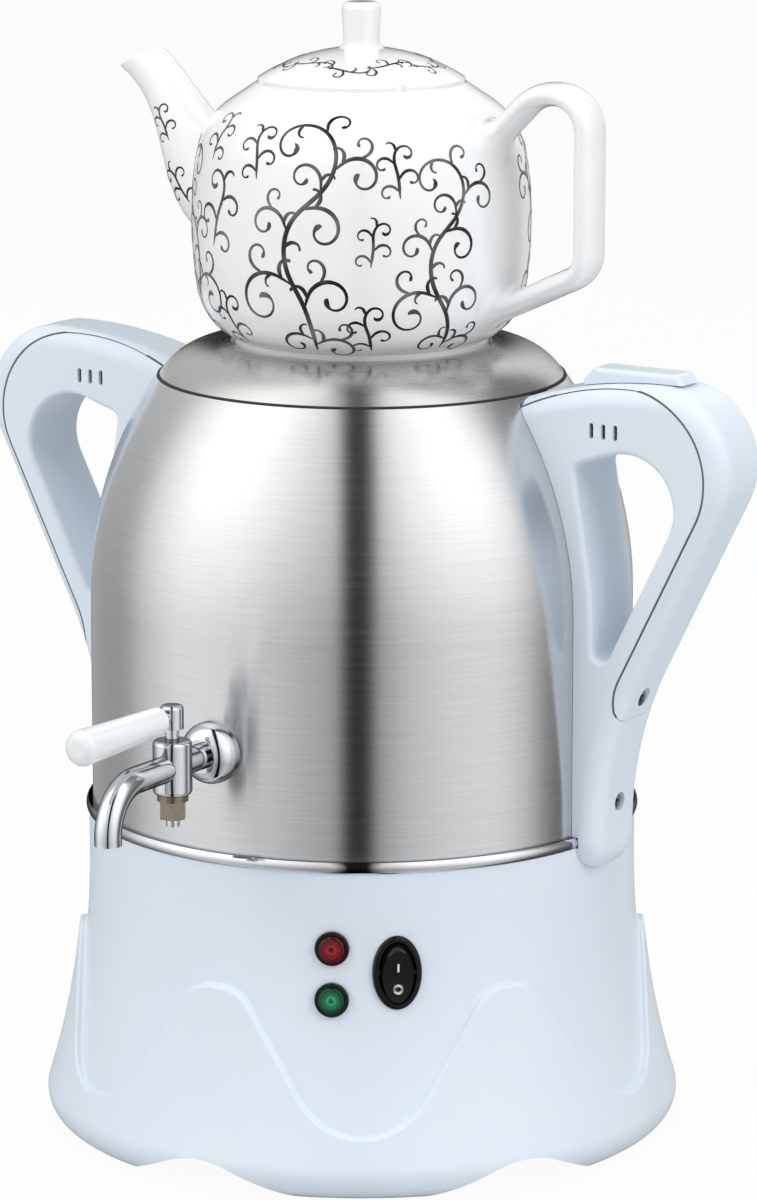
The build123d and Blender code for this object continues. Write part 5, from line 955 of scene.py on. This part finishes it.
GARLAND = Tendril(
    27 * MM,
    ((0, -60.0), (0.3, -20.0), (0.55, 60.0), (0.8, 240.0), (1, 480.0)),
    widths_mm((0, 0.4), (0.2, 1.2), (0.6, 1.1), (0.9, 0.8), (0.95, 1.8), (1, 0.4)),
    (
        Branch(0.05, Side.LEFT, 60, 0.55, SMALL_CURL),
        Branch(0.36, Side.RIGHT, 40, 0.5, SMALL_CURL),
        Branch(0.5, Side.LEFT, 40, 0.6, HOOK),
    ),
)


@dataclass
class Scrollwork:
    """Scrolling vines drawn on a charted surface, one mesh of thin ribbons."""

    name: str
    body: Body
    chart: TurnedChart | FlankChart
    step: float = 0.0009
    fewest_steps: int = 6
    fewest_sections: int = 3
    edge: float = 0.00003
    crest: float = 0.00014
    # A small stroke is less thin than its scale makes it.
    thinning: float = 0.6
    points: list[Vector] = field(default_factory=list)
    faces: list[Face] = field(default_factory=list)

    def draw(
        self,
        tendril: Tendril,
        across: float,
        way: float,
        heading: float,
        side: Side,
        scale: float,
    ) -> None:
        """Draw a tendril and all that leaves it.

        Args:
            tendril: Stroke to draw.
            across: Where it starts across the chart.
            way: Where it starts along the chart.
            heading: Direction at the start, in degrees from across towards along.
            side: Which way it curls.
            scale: Size against the tendril's own.
        """
        turn = radians(heading)
        length = tendril.length * scale
        count = max(self.fewest_steps, ceil(length / self.step))
        stride = length / count
        row: list[Section] = []
        starts = sorted(tendril.branches, key=lambda branch: branch.share)
        for index in range(count + 1):
            share = index / count
            while starts and starts[0].share <= share:
                leaving = starts.pop(0)
                flip = Side.LEFT if leaving.side == side else Side.RIGHT
                swing = (turn + flip.value * radians(leaving.angle)) * 180 / pi
                self.draw(leaving.tendril, across, way, swing, flip, scale * leaving.scale)
            half = between(tendril.widths, share) * scale**self.thinning / 2
            self.add_section(row, across, way, turn, half)
            across += cos(turn) * stride * self.chart.stretch(way)
            way += sin(turn) * stride
            turn += side.value * between(tendril.bends, share) * stride / scale
        self.close_row(row)

    def add_section(
        self, row: list[Section], across: float, way: float, turn: float, half: float
    ) -> None:
        """Add one cross-section to a ribbon, or end the ribbon where the chart ends.

        Args:
            row: Sections of the ribbon so far.
            across: Place across the chart.
            way: Place along the chart.
            turn: Heading in radians.
            half: Half of the width.
        """
        skew = self.chart.stretch(way)
        shift = (-sin(turn) * half * skew, cos(turn) * half)
        section = (
            self.chart.point(across + shift[0], way + shift[1], self.edge),
            self.chart.point(across, way, self.crest),
            self.chart.point(across - shift[0], way - shift[1], self.edge),
        )
        if None in section:
            self.close_row(row)
            row.clear()
        else:
            row.append(section)

    def close_row(self, row: list[Section]) -> None:
        """Turn the sections of a ribbon into faces.

        Args:
            row: Left edge, crest and right edge of each section.
        """
        if len(row) < self.fewest_sections:
            return
        first = len(self.points)
        for section in row:
            self.points.extend(section)
        for index in range(len(row) - 1):
            low = first + 3 * index
            self.faces.append((low, low + 1, low + 4, low + 3))
            self.faces.append((low + 1, low + 2, low + 5, low + 4))
            self.faces.append((low + 2, low, low + 3, low + 5))
        last = first + 3 * (len(row) - 1)
        self.faces.append((first, first + 2, first + 1))
        self.faces.append((last, last + 1, last + 2))

    def build(self) -> None:
        """Make the piece from all that was drawn."""
        piece = raw_piece(self.name, self.points, [], self.faces)
        face_out()
        finish_piece(piece, self.name, self.body, SCROLL_INK)


@dataclass
class Teapot:
    """Ornament of the ceramic teapot and its lid."""

    # Heights between which the wall and the lid are charted, in metres.
    wall: Pair = (0.3175, 0.4125)
    lid: Pair = (0.4195, 0.4292)
    # Tendril, azimuth, height over the wall's low end in mm, heading, side and scale, on the half
    # towards the tap. The other half has their mirror images.
    vines: tuple[tuple[Tendril, float, float, float, Side, float], ...] = (
        (TALL_VINE, -45.0, 5.0, 100.0, Side.RIGHT, 0.84),
        (TALL_VINE, 14.0, 5.0, 84.0, Side.LEFT, 1.0),
        (TALL_VINE, 65.0, 5.0, 88.0, Side.LEFT, 0.84),
        (SPRIG, -21.0, 5.0, 94.0, Side.RIGHT, 0.8),
        (SPRIG, -27.0, 46.0, 74.0, Side.LEFT, 1.05),
        (SPRIG, -6.0, 74.0, 98.0, Side.RIGHT, 0.75),
        (SPRIG, -31.0, 79.0, 84.0, Side.LEFT, 0.7),
        (SPRIG, 36.0, 5.0, 100.0, Side.RIGHT, 0.75),
        (SPRIG, 35.0, 42.0, 84.0, Side.RIGHT, 0.62),
        (SPRIG, 45.0, 68.0, 96.0, Side.RIGHT, 0.72),
    )
    # Tendril, X and Z in mm, heading, side and scale.
    sprigs: tuple[tuple[Tendril, float, float, float, Side, float], ...] = (
        (SPRIG, -72.0, 366.0, 130.0, Side.LEFT, 0.62),
        (SPRIG, -83.0, 390.0, 118.0, Side.RIGHT, 0.5),
    )
    garlands: int = 10
    garland_scale: float = 0.9
    # Share of the lid's profile where they start.
    garland_place: float = 0.5
    # The lid's strokes are small, so their steps are too.
    garland_step: float = 0.0006

    def build(self) -> None:
        """Draw the wall, both sides of the spout and the lid."""
        wall = Scrollwork("teapot_scrolls", Body.POT, TurnedChart("teapot", *self.wall))
        for mirrored in (False, True):
            for tendril, azimuth, way, heading, side, scale in self.vines:
                if mirrored:
                    azimuth, heading, side = 180 - azimuth, 180 - heading, side.other()
                wall.draw(tendril, radians(azimuth), way * MM, heading, side, scale)
        wall.build()
        for name, flank in (("near", -1.0), ("far", 1.0)):
            spout = Scrollwork(f"spout_scrolls_{name}", Body.POT, FlankChart("teapot", flank))
            for tendril, across, up, heading, side, scale in self.sprigs:
                spout.draw(tendril, across * MM, up * MM, heading, side, scale)
            spout.build()
        chart = TurnedChart("teapot_lid", *self.lid)
        ring = Scrollwork("pot_lid_scrolls", Body.POT_LID, chart, step=self.garland_step)
        start = chart.length * self.garland_place
        for index in range(self.garlands):
            azimuth = 2 * pi * index / self.garlands
            side = (Side.LEFT, Side.RIGHT)[index % 2]
            ring.draw(GARLAND, azimuth, start, 0.0, side, self.garland_scale)
        ring.build()


@dataclass(frozen=True)
class Spot:
    """A place on the base's flared wall: azimuth in degrees and height in metres."""

    azimuth: float
    height: float
    top_radius: float = 0.1092
    flare_start: float = 0.11
    flare_radius: float = 0.32

    def facing(self) -> Vector:
        """Direction in which the wall faces there."""
        tilt = asin((self.flare_start - self.height) / self.flare_radius)
        return outward(radians(self.azimuth)) * cos(tilt) + Vector((0, 0, sin(tilt)))

    def centre(self) -> Vector:
        """Find the place.

        Returns:
            The point of the wall.
        """
        drop = self.flare_start - self.height
        reach = self.top_radius + self.flare_radius - sqrt(self.flare_radius**2 - drop**2)
        return outward(radians(self.azimuth)) * reach + Vector((0, 0, self.height))

    def turn(self) -> Matrix:
        """Set a piece drawn on XY on the wall, with its Y up and its Z out.

        Returns:
            The matrix that does it.
        """
        facing = self.facing()
        across = outward(radians(self.azimuth + 90))
        axes = Matrix((across, facing.cross(across), facing)).transposed().to_4x4()
        return Matrix.Translation(self.centre()) @ axes


@dataclass
class Panel:
    """Pilot lamps and the marks of the rocker switch."""

    red: Spot = Spot(26.0, 0.098)
    green: Spot = Spot(26.0, 0.078)
    switch: Spot = Spot(39.0, 0.0885)
    # Share of the lens radius and colour there; the brightest stop is a painted highlight ring.
    red_rings: tuple[tuple[float, str], ...] = (
        (0, "#3c0508"), (0.17, "#4a070b"), (0.27, "#a5242e"), (0.38, "#860f19"),
        (0.66, "#6c0a13"), (0.9, "#380509"), (1, "#1a0304"),
    )
    green_rings: tuple[tuple[float, str], ...] = (
        (0, "#0a5537"), (0.17, "#0e6643"), (0.27, "#38a878"), (0.4, "#187a53"),
        (0.66, "#0d5b3b"), (0.9, "#052e1e"), (1, "#031810"),
    )
    # Sizes of the marks, in mm: the bar's sides and corners, and the ring's two radii.
    bar: Pair = (0.8, 3.4)
    bar_corner: float = 0.3
    bar_rise: float = 2.6
    ring: Pair = (1.0, 2.0)
    ring_sides: int = 48
    ring_drop: float = 6.0
    print_mm: float = 0.06
    # How far over the wall a mark is before it is laid on the rocker, in metres.
    start_over: float = 0.02

    def build(self) -> None:
        """Dress the lamps and print the switch."""
        self.light("red_lamp_lens", self.red, self.red_rings)
        self.light("green_lamp_lens", self.green, self.green_rings)
        self.print_bar()
        self.print_ring()

    def light(self, node: str, spot: Spot, rings: tuple[tuple[float, str], ...]) -> None:
        """Give a lens its acrylic, with a painted highlight ring.

        Args:
            node: Node of the lens.
            spot: Where it sits.
            rings: Share of the radius and colour there.
        """
        finish = PilotLens(f"{node}_acrylic", tuple(spot.centre()), tuple(spot.facing()), rings)
        dress(node, finish)

    def lay(self, piece: bpy.types.Object, shift: float, name: str) -> None:
        """Lay a flat print on the rocker and give it its thickness.

        Args:
            piece: Flat piece in millimetre units on XY.
            shift: How far up the rocker it lies, in millimetres.
            name: Name of the piece.
        """
        over = Matrix.Translation((0, shift * MM, self.start_over))
        piece.matrix_world = self.switch.turn() @ over @ Matrix.Scale(MM, 4)
        wrap = piece.modifiers.new("lay", "SHRINKWRAP")
        wrap.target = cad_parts["switch_rocker"]
        wrap.wrap_method = "PROJECT"
        wrap.use_project_z = True
        wrap.use_negative_direction = True
        wrap.use_positive_direction = False
        thick = piece.modifiers.new("print", "SOLIDIFY")
        thick.thickness = self.print_mm
        thick.offset = 1.0
        bpy.ops.object.modifier_apply(modifier=wrap.name)
        bpy.ops.object.modifier_apply(modifier=thick.name)
        finish_piece(piece, name, Body.ROCKER, PRINT_WHITE)

    def print_bar(self) -> None:
        """Upright bar that marks the switch's on side."""
        bpy.ops.object.select_all(action="DESELECT")
        bpy.ops.mesh.primitive_plane_add(size=1.0)
        piece = bpy.context.object
        bpy.ops.object.mode_set(mode="EDIT")
        bpy.ops.mesh.select_all(action="SELECT")
        bpy.ops.transform.resize(value=(self.bar[0], self.bar[1], 1.0))
        bpy.ops.mesh.bevel(offset=self.bar_corner, segments=4, affect="VERTICES")
        bpy.ops.mesh.poke()
        bpy.ops.mesh.subdivide(number_cuts=3)
        bpy.ops.object.mode_set(mode="OBJECT")
        self.lay(piece, self.bar_rise, "switch_mark_on")

    def print_ring(self) -> None:
        """Ring that marks the switch's off side."""
        bpy.ops.object.select_all(action="DESELECT")
        bpy.ops.mesh.primitive_circle_add(vertices=self.ring_sides, radius=self.ring[0])
        piece = bpy.context.object
        bpy.ops.object.mode_set(mode="EDIT")
        bpy.ops.mesh.select_all(action="SELECT")
        bpy.ops.mesh.extrude_edges_move()
        share = self.ring[1] / self.ring[0]
        bpy.ops.transform.resize(value=(share, share, 1.0))
        bpy.ops.mesh.select_all(action="SELECT")
        bpy.ops.mesh.subdivide(number_cuts=2)
        bpy.ops.object.mode_set(mode="OBJECT")
        self.lay(piece, -self.ring_drop, "switch_mark_off")


@dataclass
class GrilleInserts:
    """Black strips in the bottom of the handles' three slots, in millimetres."""

    reach: float = 118.7
    height: float = 292.47
    pitch: float = 5.2
    count: int = 3
    size: tuple[float, float, float] = (1.7, 0.4, 5.9)
    rounding: float = 0.15
    floor: float = 15.2

    def build(self) -> None:
        """Make the strips of both handles."""
        for name, side in (("right_slot_inserts", 1), ("left_slot_inserts", -1)):
            self.strips(name, side)

    def strips(self, name: str, side: int) -> None:
        """Make the strips of one handle.

        Args:
            name: Name of the piece.
            side: 1 for the handle on +X and -1 for the other.
        """
        made = []
        for face in (-1, 1):
            for index in range(self.count):
                across = side * self.reach + (index - (self.count - 1) / 2) * self.pitch
                bpy.ops.object.select_all(action="DESELECT")
                bpy.ops.mesh.primitive_cube_add(
                    size=MM, location=Vector((across, face * self.floor, self.height)) * MM
                )
                strip = bpy.context.object
                strip.scale = self.size
                bpy.ops.object.transform_apply(location=True, rotation=True, scale=True)
                bpy.ops.object.mode_set(mode="EDIT")
                bpy.ops.mesh.select_all(action="SELECT")
                bpy.ops.mesh.bevel(offset=self.rounding * MM, segments=3)
                bpy.ops.object.mode_set(mode="OBJECT")
                made.append(strip)
        for strip in made:
            strip.select_set(True)
        bpy.ops.object.join()
        finish_piece(bpy.context.object, name, Body.SAMOVAR, BLACK_NYLON)


@dataclass(frozen=True)
class EarRoot:
    """Flare of porcelain where one arm of the ear runs into the pot's wall."""

    name: str
    # X and Z of the arm's end inside the wall and of a place farther out on it, in mm.
    inner: Pair
    outer: Pair
    flare_mm: float
    half: Pair = (9.0, 4.6)
    around: int = 72
    steps: int = 10
    # How far off the arm its probes run, and how deep the flare's edges and its corner are sunk.
    clear_mm: float = 0.3
    sunk_mm: float = 0.12
    deep_mm: float = 1.0

    def build(self) -> None:
        """Make the flare from sections that leave the ear and settle on the wall."""
        skin = skin_of("teapot")
        start = Vector((self.outer[0], 0, self.outer[1])) * MM
        along = (Vector((self.inner[0], 0, self.inner[1])) * MM - start).normalized()
        across = Vector((0, 1, 0))
        upward = across.cross(along)
        wide, high = self.half
        points: list[Vector] = []
        for index in range(self.around):
            turn = 2 * pi * index / self.around
            rim = across * (wide * cos(turn)) + upward * (high * sin(turn))
            away = across * (cos(turn) / wide) + upward * (sin(turn) / high)
            points.extend(self.section(skin, start + rim * MM, along, away.normalized()))
        ring = self.steps + 2
        faces = []
        for index in range(self.around):
            near, far = index * ring, (index + 1) % self.around * ring
            for step in range(ring):
                after = (step + 1) % ring
                faces.append((near + step, near + after, far + after, far + step))
        piece = raw_piece(self.name, points, [], faces)
        face_out()
        bpy.ops.object.shade_smooth()
        finish_piece(piece, self.name, Body.POT, PORCELAIN)

    def section(self, skin: BVHTree, start: Vector, along: Vector, away: Vector) -> list[Vector]:
        """One section of the flare: from the ear's skin, round the corner, to the wall.

        Args:
            skin: Search tree of the pot.
            start: Place on the arm's skin, clear of the wall.
            along: The arm's way into the wall.
            away: Outward way at that place.

        Returns:
            The section's points, the last one deep in the corner.
        """
        corner, normal, _, _ = skin.ray_cast(start + away * self.clear_mm * MM, along)
        flare = self.flare_mm * MM
        on_ear = corner - along * flare - away * (self.clear_mm + self.sunk_mm) * MM
        spread = (away - normal * away.dot(normal)).normalized()
        wall, lean, _, _ = skin.find_nearest(corner + spread * flare)
        on_wall = wall - lean * self.sunk_mm * MM
        made = []
        for step in range(self.steps + 1):
            share = step / self.steps
            rest = 1 - share
            made.append(on_ear * rest**2 + corner * (2 * share * rest) + on_wall * share**2)
        deep = self.deep_mm * MM
        made.append(corner - normal * deep - away * deep)
        return made


EAR_ROOTS = (
    EarRoot("ear_root_upper", (54.5, 392.27), (74.4, 412.02), 8.0),
    EarRoot("ear_root_lower", (54.5, 328.27), (90.85, 344.98), 8.0),
)


@dataclass
class LidLip:
    """Black ring in the joint of the vessel's lid and mouth, which draws the joint's dark line."""

    # Radius and height of the lip's section, in mm.
    section: tuple[Pair, ...] = (
        (79.75, 301.3), (80.35, 301.3), (80.62, 301.6), (80.66, 302.1),
        (80.5, 302.5), (80.15, 302.72), (79.75, 302.7), (79.5, 302.6),
    )
    around: int = 256

    def build(self) -> None:
        """Turn the section round the vessel's axis."""
        count = len(self.section)
        places = [Vector((radius * MM, 0, height * MM)) for radius, height in self.section]
        piece = raw_piece("lid_lip", places, [(i, (i + 1) % count) for i in range(count)], [])
        turn = piece.modifiers.new("turn", "SCREW")
        turn.steps = turn.render_steps = self.around
        turn.use_merge_vertices = True
        bpy.ops.object.modifier_apply(modifier=turn.name)
        face_out()
        bpy.ops.object.shade_smooth()
        finish_piece(piece, "lid_lip", Body.VESSEL_LID, RUBBER)


@dataclass
class HandleSeams:
    """Dark strips of painted shadow along the joints of the handles' bodies and caps."""

    width_mm: float = 0.75
    depth_mm: float = 0.25
    proud_mm: float = 0.05
    weld_mm: float = 0.01
    shortest_mm: float = 12.0
    # Least lean of the flank and most lean of the joint's wall towards the flank's side.
    flank: float = 0.6
    wall: float = 0.35

    def build(self) -> None:
        """Make the lines of both handles."""
        for side in ("right", "left"):
            self.lines(f"{side}_handle_cap", f"{side}_handle_seam_shadow")

    def lines(self, node: str, name: str) -> None:
        """Make the lines on both flanks of one handle.

        Args:
            node: Node of the handle's cap.
            name: Name of the piece.
        """
        points: list[Vector] = []
        faces: list[Face] = []
        for face in (-1.0, 1.0):
            for line in self.seams(node, face):
                self.ribbon(line, points, faces)
        # The strips are painted shadow for the gap between each handle's body and cap.
        piece = raw_piece(name, points, [], faces)
        face_out()
        finish_piece(piece, name, Body.SAMOVAR, SEAM_SHADE)

    def seams(self, node: str, face: float) -> list[list[tuple[Vector, Vector]]]:
        """Sharp open edge lines of one flank of the cap.

        Args:
            node: Node of the cap.
            face: 1 for the flank on +Y and -1 for the other.

        Returns:
            The lines that are long enough, each as places and outward ways.
        """
        shape = bmesh.new()
        shape.from_mesh(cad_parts[node].data)
        bmesh.ops.remove_doubles(shape, verts=shape.verts, dist=self.weld_mm * MM)
        ways: dict[bmesh.types.BMVert, list[bmesh.types.BMVert]] = {}
        outs: dict[bmesh.types.BMVert, Vector] = {}
        for edge in shape.edges:
            leans = sorted((f.normal.y * face, f.normal) for f in edge.link_faces)
            if leans[1][0] < self.flank or abs(leans[0][0]) > self.wall:
                continue
            for here, other in (edge.verts, reversed(edge.verts)):
                ways.setdefault(here, []).append(other)
                outs[here] = outs.get(here, Vector()) + leans[1][1]
        lines = []
        ends = [vert for vert, others in ways.items() if len(others) == 1]
        while ends:
            before, here = None, ends.pop()
            line = [(here.co.copy(), outs[here].normalized())]
            while onward := [vert for vert in ways[here] if vert is not before]:
                before, here = here, onward[0]
                line.append((here.co.copy(), outs[here].normalized()))
            ends.remove(here)
            run = sum((b[0] - a[0]).length for a, b in zip(line, line[1:]))
            if run > self.shortest_mm * MM:
                lines.append(line)
        shape.free()
        return lines

    def ribbon(
        self, line: list[tuple[Vector, Vector]], points: list[Vector], faces: list[Face]
    ) -> None:
        """Add a thin bar along a line on a flank.

        Args:
            line: Places and outward ways of the line.
            points: Gets the new points.
            faces: Gets the new faces.
        """
        first = len(points)
        for index, (place, out) in enumerate(line):
            ahead = line[min(index + 1, len(line) - 1)][0] - line[max(index - 1, 0)][0]
            beside = ahead.cross(out).normalized() * (self.width_mm * MM / 2)
            top = place + out * self.proud_mm * MM
            low = top - out * self.depth_mm * MM
            points.extend((top - beside, top + beside, low + beside, low - beside))
        for index in range(len(line) - 1):
            near = first + 4 * index
            for side in range(4):
                after = (side + 1) % 4
                faces.append((near + side, near + after, near + 4 + after, near + 4 + side))
        end = first + 4 * (len(line) - 1)
        faces.append((first, first + 3, first + 2, first + 1))
        faces.append((end, end + 1, end + 2, end + 3))


@dataclass(frozen=True)
class SoftBox:
    """A large soft lamp that faces the object."""

    name: str
    azimuth: float
    elevation: float
    distance: float
    size: Pair
    watts: float

    def build(self, target: Vector) -> None:
        """Add the lamp.

        Args:
            target: Point that it faces, in metres.
        """
        lamp = bpy.data.lights.new(self.name, "AREA")
        lamp.shape = "RECTANGLE"
        lamp.size, lamp.size_y = self.size
        lamp.energy = self.watts
        holder = bpy.data.objects.new(self.name, lamp)
        holder.visible_glossy = False
        bpy.context.collection.objects.link(holder)
        rise = radians(self.elevation)
        aim = outward(radians(self.azimuth)) * cos(rise) + Vector((0, 0, sin(rise)))
        holder.location = target + aim * self.distance
        holder.rotation_euler = (-aim).to_track_quat("-Z", "Y").to_euler()


@dataclass
class Studio:
    """Pale floor, white surround, soft boxes, a tent that metal reflects, and the camera."""

    azimuth: float = 32.0
    distance: float = 2.0
    height: float = 0.643
    pitch: float = 12.2
    yaw: float = 0.19
    lens: float = 154.3
    floor_size: float = 60.0
    floor_glow: float = 0.95
    surround: float = 0.46
    # Tent: radius, brightness, its gain low down and high up and how high that is, and the dark
    # slit that runs over the top. Heights and the slit's places are shares of the radius.
    tent_radius: float = 6.0
    tent_glow: float = 1.3
    tent_gain: Pair = (0.5, 1.3)
    tent_rise: float = 0.5
    slit_place: float = -0.029
    slit_half: Pair = (0.07, 0.16)
    slit_glow: float = 0.01
    # Angle from the camera's side in degrees and brightness of the tent there.
    tent_bands: tuple[Pair, ...] = (
        (-180, 0.10), (-172, 0.25), (-164, 0.40), (-152, 0.42), (-140, 0.40), (-123, 0.40),
        (-114, 0.48), (-106, 0.68), (-96, 0.82), (-84, 0.98), (-72, 0.99), (-56, 0.91),
        (-40, 0.75), (-22, 0.57), (-9, 0.48), (8, 0.47), (22, 0.74), (40, 0.91),
        (54, 0.97), (65, 0.90), (74, 0.69), (84, 0.32), (92, 0.17), (112, 0.14),
        (132, 0.16), (142, 0.50), (156, 0.60), (172, 0.25), (180, 0.10),
    )
    boxes: tuple[SoftBox, ...] = (
        SoftBox("left_soft_box", -35.0, 34.0, 2.2, (1.4, 1.4), 16.5),
        SoftBox("right_soft_box", 84.0, 32.0, 2.2, (1.2, 1.2), 18.0),
        SoftBox("top_soft_box", 30.0, 82.0, 1.9, (1.6, 1.6), 12.5),
        SoftBox("back_soft_box", 215.0, 40.0, 2.4, (1.4, 1.4), 7.0),
    )

    def build(self) -> None:
        """Add everything round the object."""
        self.build_surround()
        self.build_floor()
        self.build_tent()
        middle = Vector((0, 0, (CAD_BOX[0][2] + CAD_BOX[1][2]) / 2))
        for box in self.boxes:
            box.build(middle)
        self.build_camera()
        bpy.context.scene.view_settings.view_transform = "Standard"

    def seen(self, tree: bpy.types.NodeTree) -> bpy.types.NodeSocket:
        """Socket that is 1 for a ray from the camera, a mirror or a clear body.

        Args:
            tree: Node tree that gets the nodes.

        Returns:
            The value socket.
        """
        path = add_node(tree, "ShaderNodeLightPath").outputs
        ray = path["Is Camera Ray"]
        for kind in ("Is Glossy Ray", "Is Transmission Ray"):
            either = add_node(tree, "ShaderNodeMath", {0: ray, 1: path[kind]}, operation="MAXIMUM")
            ray = either.outputs["Value"]
        return ray

    def build_surround(self) -> None:
        """White world for the eye, dimmer as a light."""
        world = bpy.data.worlds.new("white_surround")
        world.use_nodes = True
        bpy.context.scene.world = world
        tree = world.node_tree
        tree.nodes.clear()
        strength = add_node(
            tree,
            "ShaderNodeMapRange",
            {"Value": self.seen(tree), "To Min": self.surround, "To Max": 1.0},
        )
        glow = add_node(
            tree,
            "ShaderNodeBackground",
            {"Color": linear("#ffffff"), "Strength": strength.outputs["Result"]},
        )
        add_node(tree, "ShaderNodeOutputWorld", {"Surface": glow.outputs["Background"]})

    def build_floor(self) -> None:
        """Pale floor that keeps a little of the object's shadow."""
        bpy.ops.object.select_all(action="DESELECT")
        bpy.ops.mesh.primitive_plane_add(size=self.floor_size)
        floor = bpy.context.object
        floor.name = "floor"
        paint = bare_material("pale_floor")
        tree = paint.node_tree
        matt = add_node(tree, "ShaderNodeBsdfDiffuse", {"Color": linear("#dedede")})
        glow = add_node(tree, "ShaderNodeEmission", {"Color": linear("#ffffff")})
        share = add_node(
            tree,
            "ShaderNodeMath",
            {0: self.seen(tree), 1: self.floor_glow},
            operation="MULTIPLY",
        )
        mixed = add_node(
            tree,
            "ShaderNodeMixShader",
            {0: share.outputs["Value"], 1: matt.outputs["BSDF"], 2: glow.outputs["Emission"]},
        )
        add_node(tree, "ShaderNodeOutputMaterial", {"Surface": mixed.outputs["Shader"]})
        floor.data.materials.append(paint)
        floor.visible_glossy = False

    def build_tent(self) -> None:
        """Tent of pale and dark panels that only reflections show."""
        bpy.ops.object.select_all(action="DESELECT")
        bpy.ops.mesh.primitive_uv_sphere_add(segments=48, ring_count=24, radius=self.tent_radius)
        tent = bpy.context.object
        tent.name = "tent"
        cloth = bare_material("tent_panels")
        tree = cloth.node_tree
        place = add_node(tree, "ShaderNodeTexCoord").outputs["Object"]
        axes = add_node(tree, "ShaderNodeSeparateXYZ", {"Vector": place}).outputs
        ahead = add_node(tree, "ShaderNodeMath", {0: axes["Y"], 1: -1.0}, operation="MULTIPLY")
        turn = add_node(
            tree, "ShaderNodeMath", {0: axes["X"], 1: ahead.outputs["Value"]}, operation="ARCTAN2"
        )
        share = add_node(
            tree,
            "ShaderNodeMapRange",
            {"Value": turn.outputs["Value"], "From Min": -pi, "From Max": pi},
        )
        bands = add_node(tree, "ShaderNodeValToRGB", {"Fac": share.outputs["Result"]})
        stops = [((angle + 180) / 360, (glow, glow, glow, 1.0)) for angle, glow in self.tent_bands]
        set_ramp(bands.color_ramp, stops)
        aside = add_node(
            tree,
            "ShaderNodeMath",
            {0: axes["X"], 1: self.slit_place * self.tent_radius},
            operation="SUBTRACT",
        )
        off_slit = add_node(
            tree, "ShaderNodeMath", {0: aside.outputs["Value"]}, operation="ABSOLUTE"
        )
        slit = add_node(
            tree,
            "ShaderNodeMapRange",
            {
                "Value": off_slit.outputs["Value"],
                "From Min": self.slit_half[0] * self.tent_radius,
                "From Max": self.slit_half[1] * self.tent_radius,
                "To Min": self.slit_glow,
            },
        )
        gain = add_node(
            tree,
            "ShaderNodeMapRange",
            {
                "Value": axes["Z"],
                "From Min": -self.tent_rise * self.tent_radius,
                "From Max": self.tent_rise * self.tent_radius,
                "To Min": self.tent_glow * self.tent_gain[0],
                "To Max": self.tent_glow * self.tent_gain[1],
            },
        )
        strength = add_node(
            tree,
            "ShaderNodeMath",
            {0: slit.outputs["Result"], 1: gain.outputs["Result"]},
            operation="MULTIPLY",
        )
        glow = add_node(
            tree,
            "ShaderNodeEmission",
            {"Color": bands.outputs["Color"], "Strength": strength.outputs["Value"]},
        )
        add_node(tree, "ShaderNodeOutputMaterial", {"Surface": glow.outputs["Emission"]})
        tent.data.materials.append(cloth)
        tent.visible_camera = False
        tent.visible_diffuse = False
        tent.visible_shadow = False
        tent.visible_transmission = False
        tent.rotation_euler.z = radians(self.azimuth)

    def build_camera(self) -> None:
        """Camera at the photograph's distance, height and angle."""
        eye = bpy.data.cameras.new("camera")
        eye.lens = self.lens
        eye.clip_end = self.floor_size
        holder = bpy.data.objects.new("camera", eye)
        bpy.context.collection.objects.link(holder)
        turn = radians(self.azimuth)
        holder.location = (self.distance * sin(turn), -self.distance * cos(turn), self.height)
        holder.rotation_euler = (radians(90 - self.pitch), 0, turn - radians(self.yaw))
        bpy.context.scene.camera = holder


def main() -> None:
    """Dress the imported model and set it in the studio."""
    logging.basicConfig(level=logging.INFO, format="%(message)s")
    dress_nodes()
    Panel().build()
    GrilleInserts().build()
    HandleSeams().build()
    LidLip().build()
    for root in EAR_ROOTS:
        root.build()
    Teapot().build()
    Studio().build()


if __name__ == "__main__":
    main()
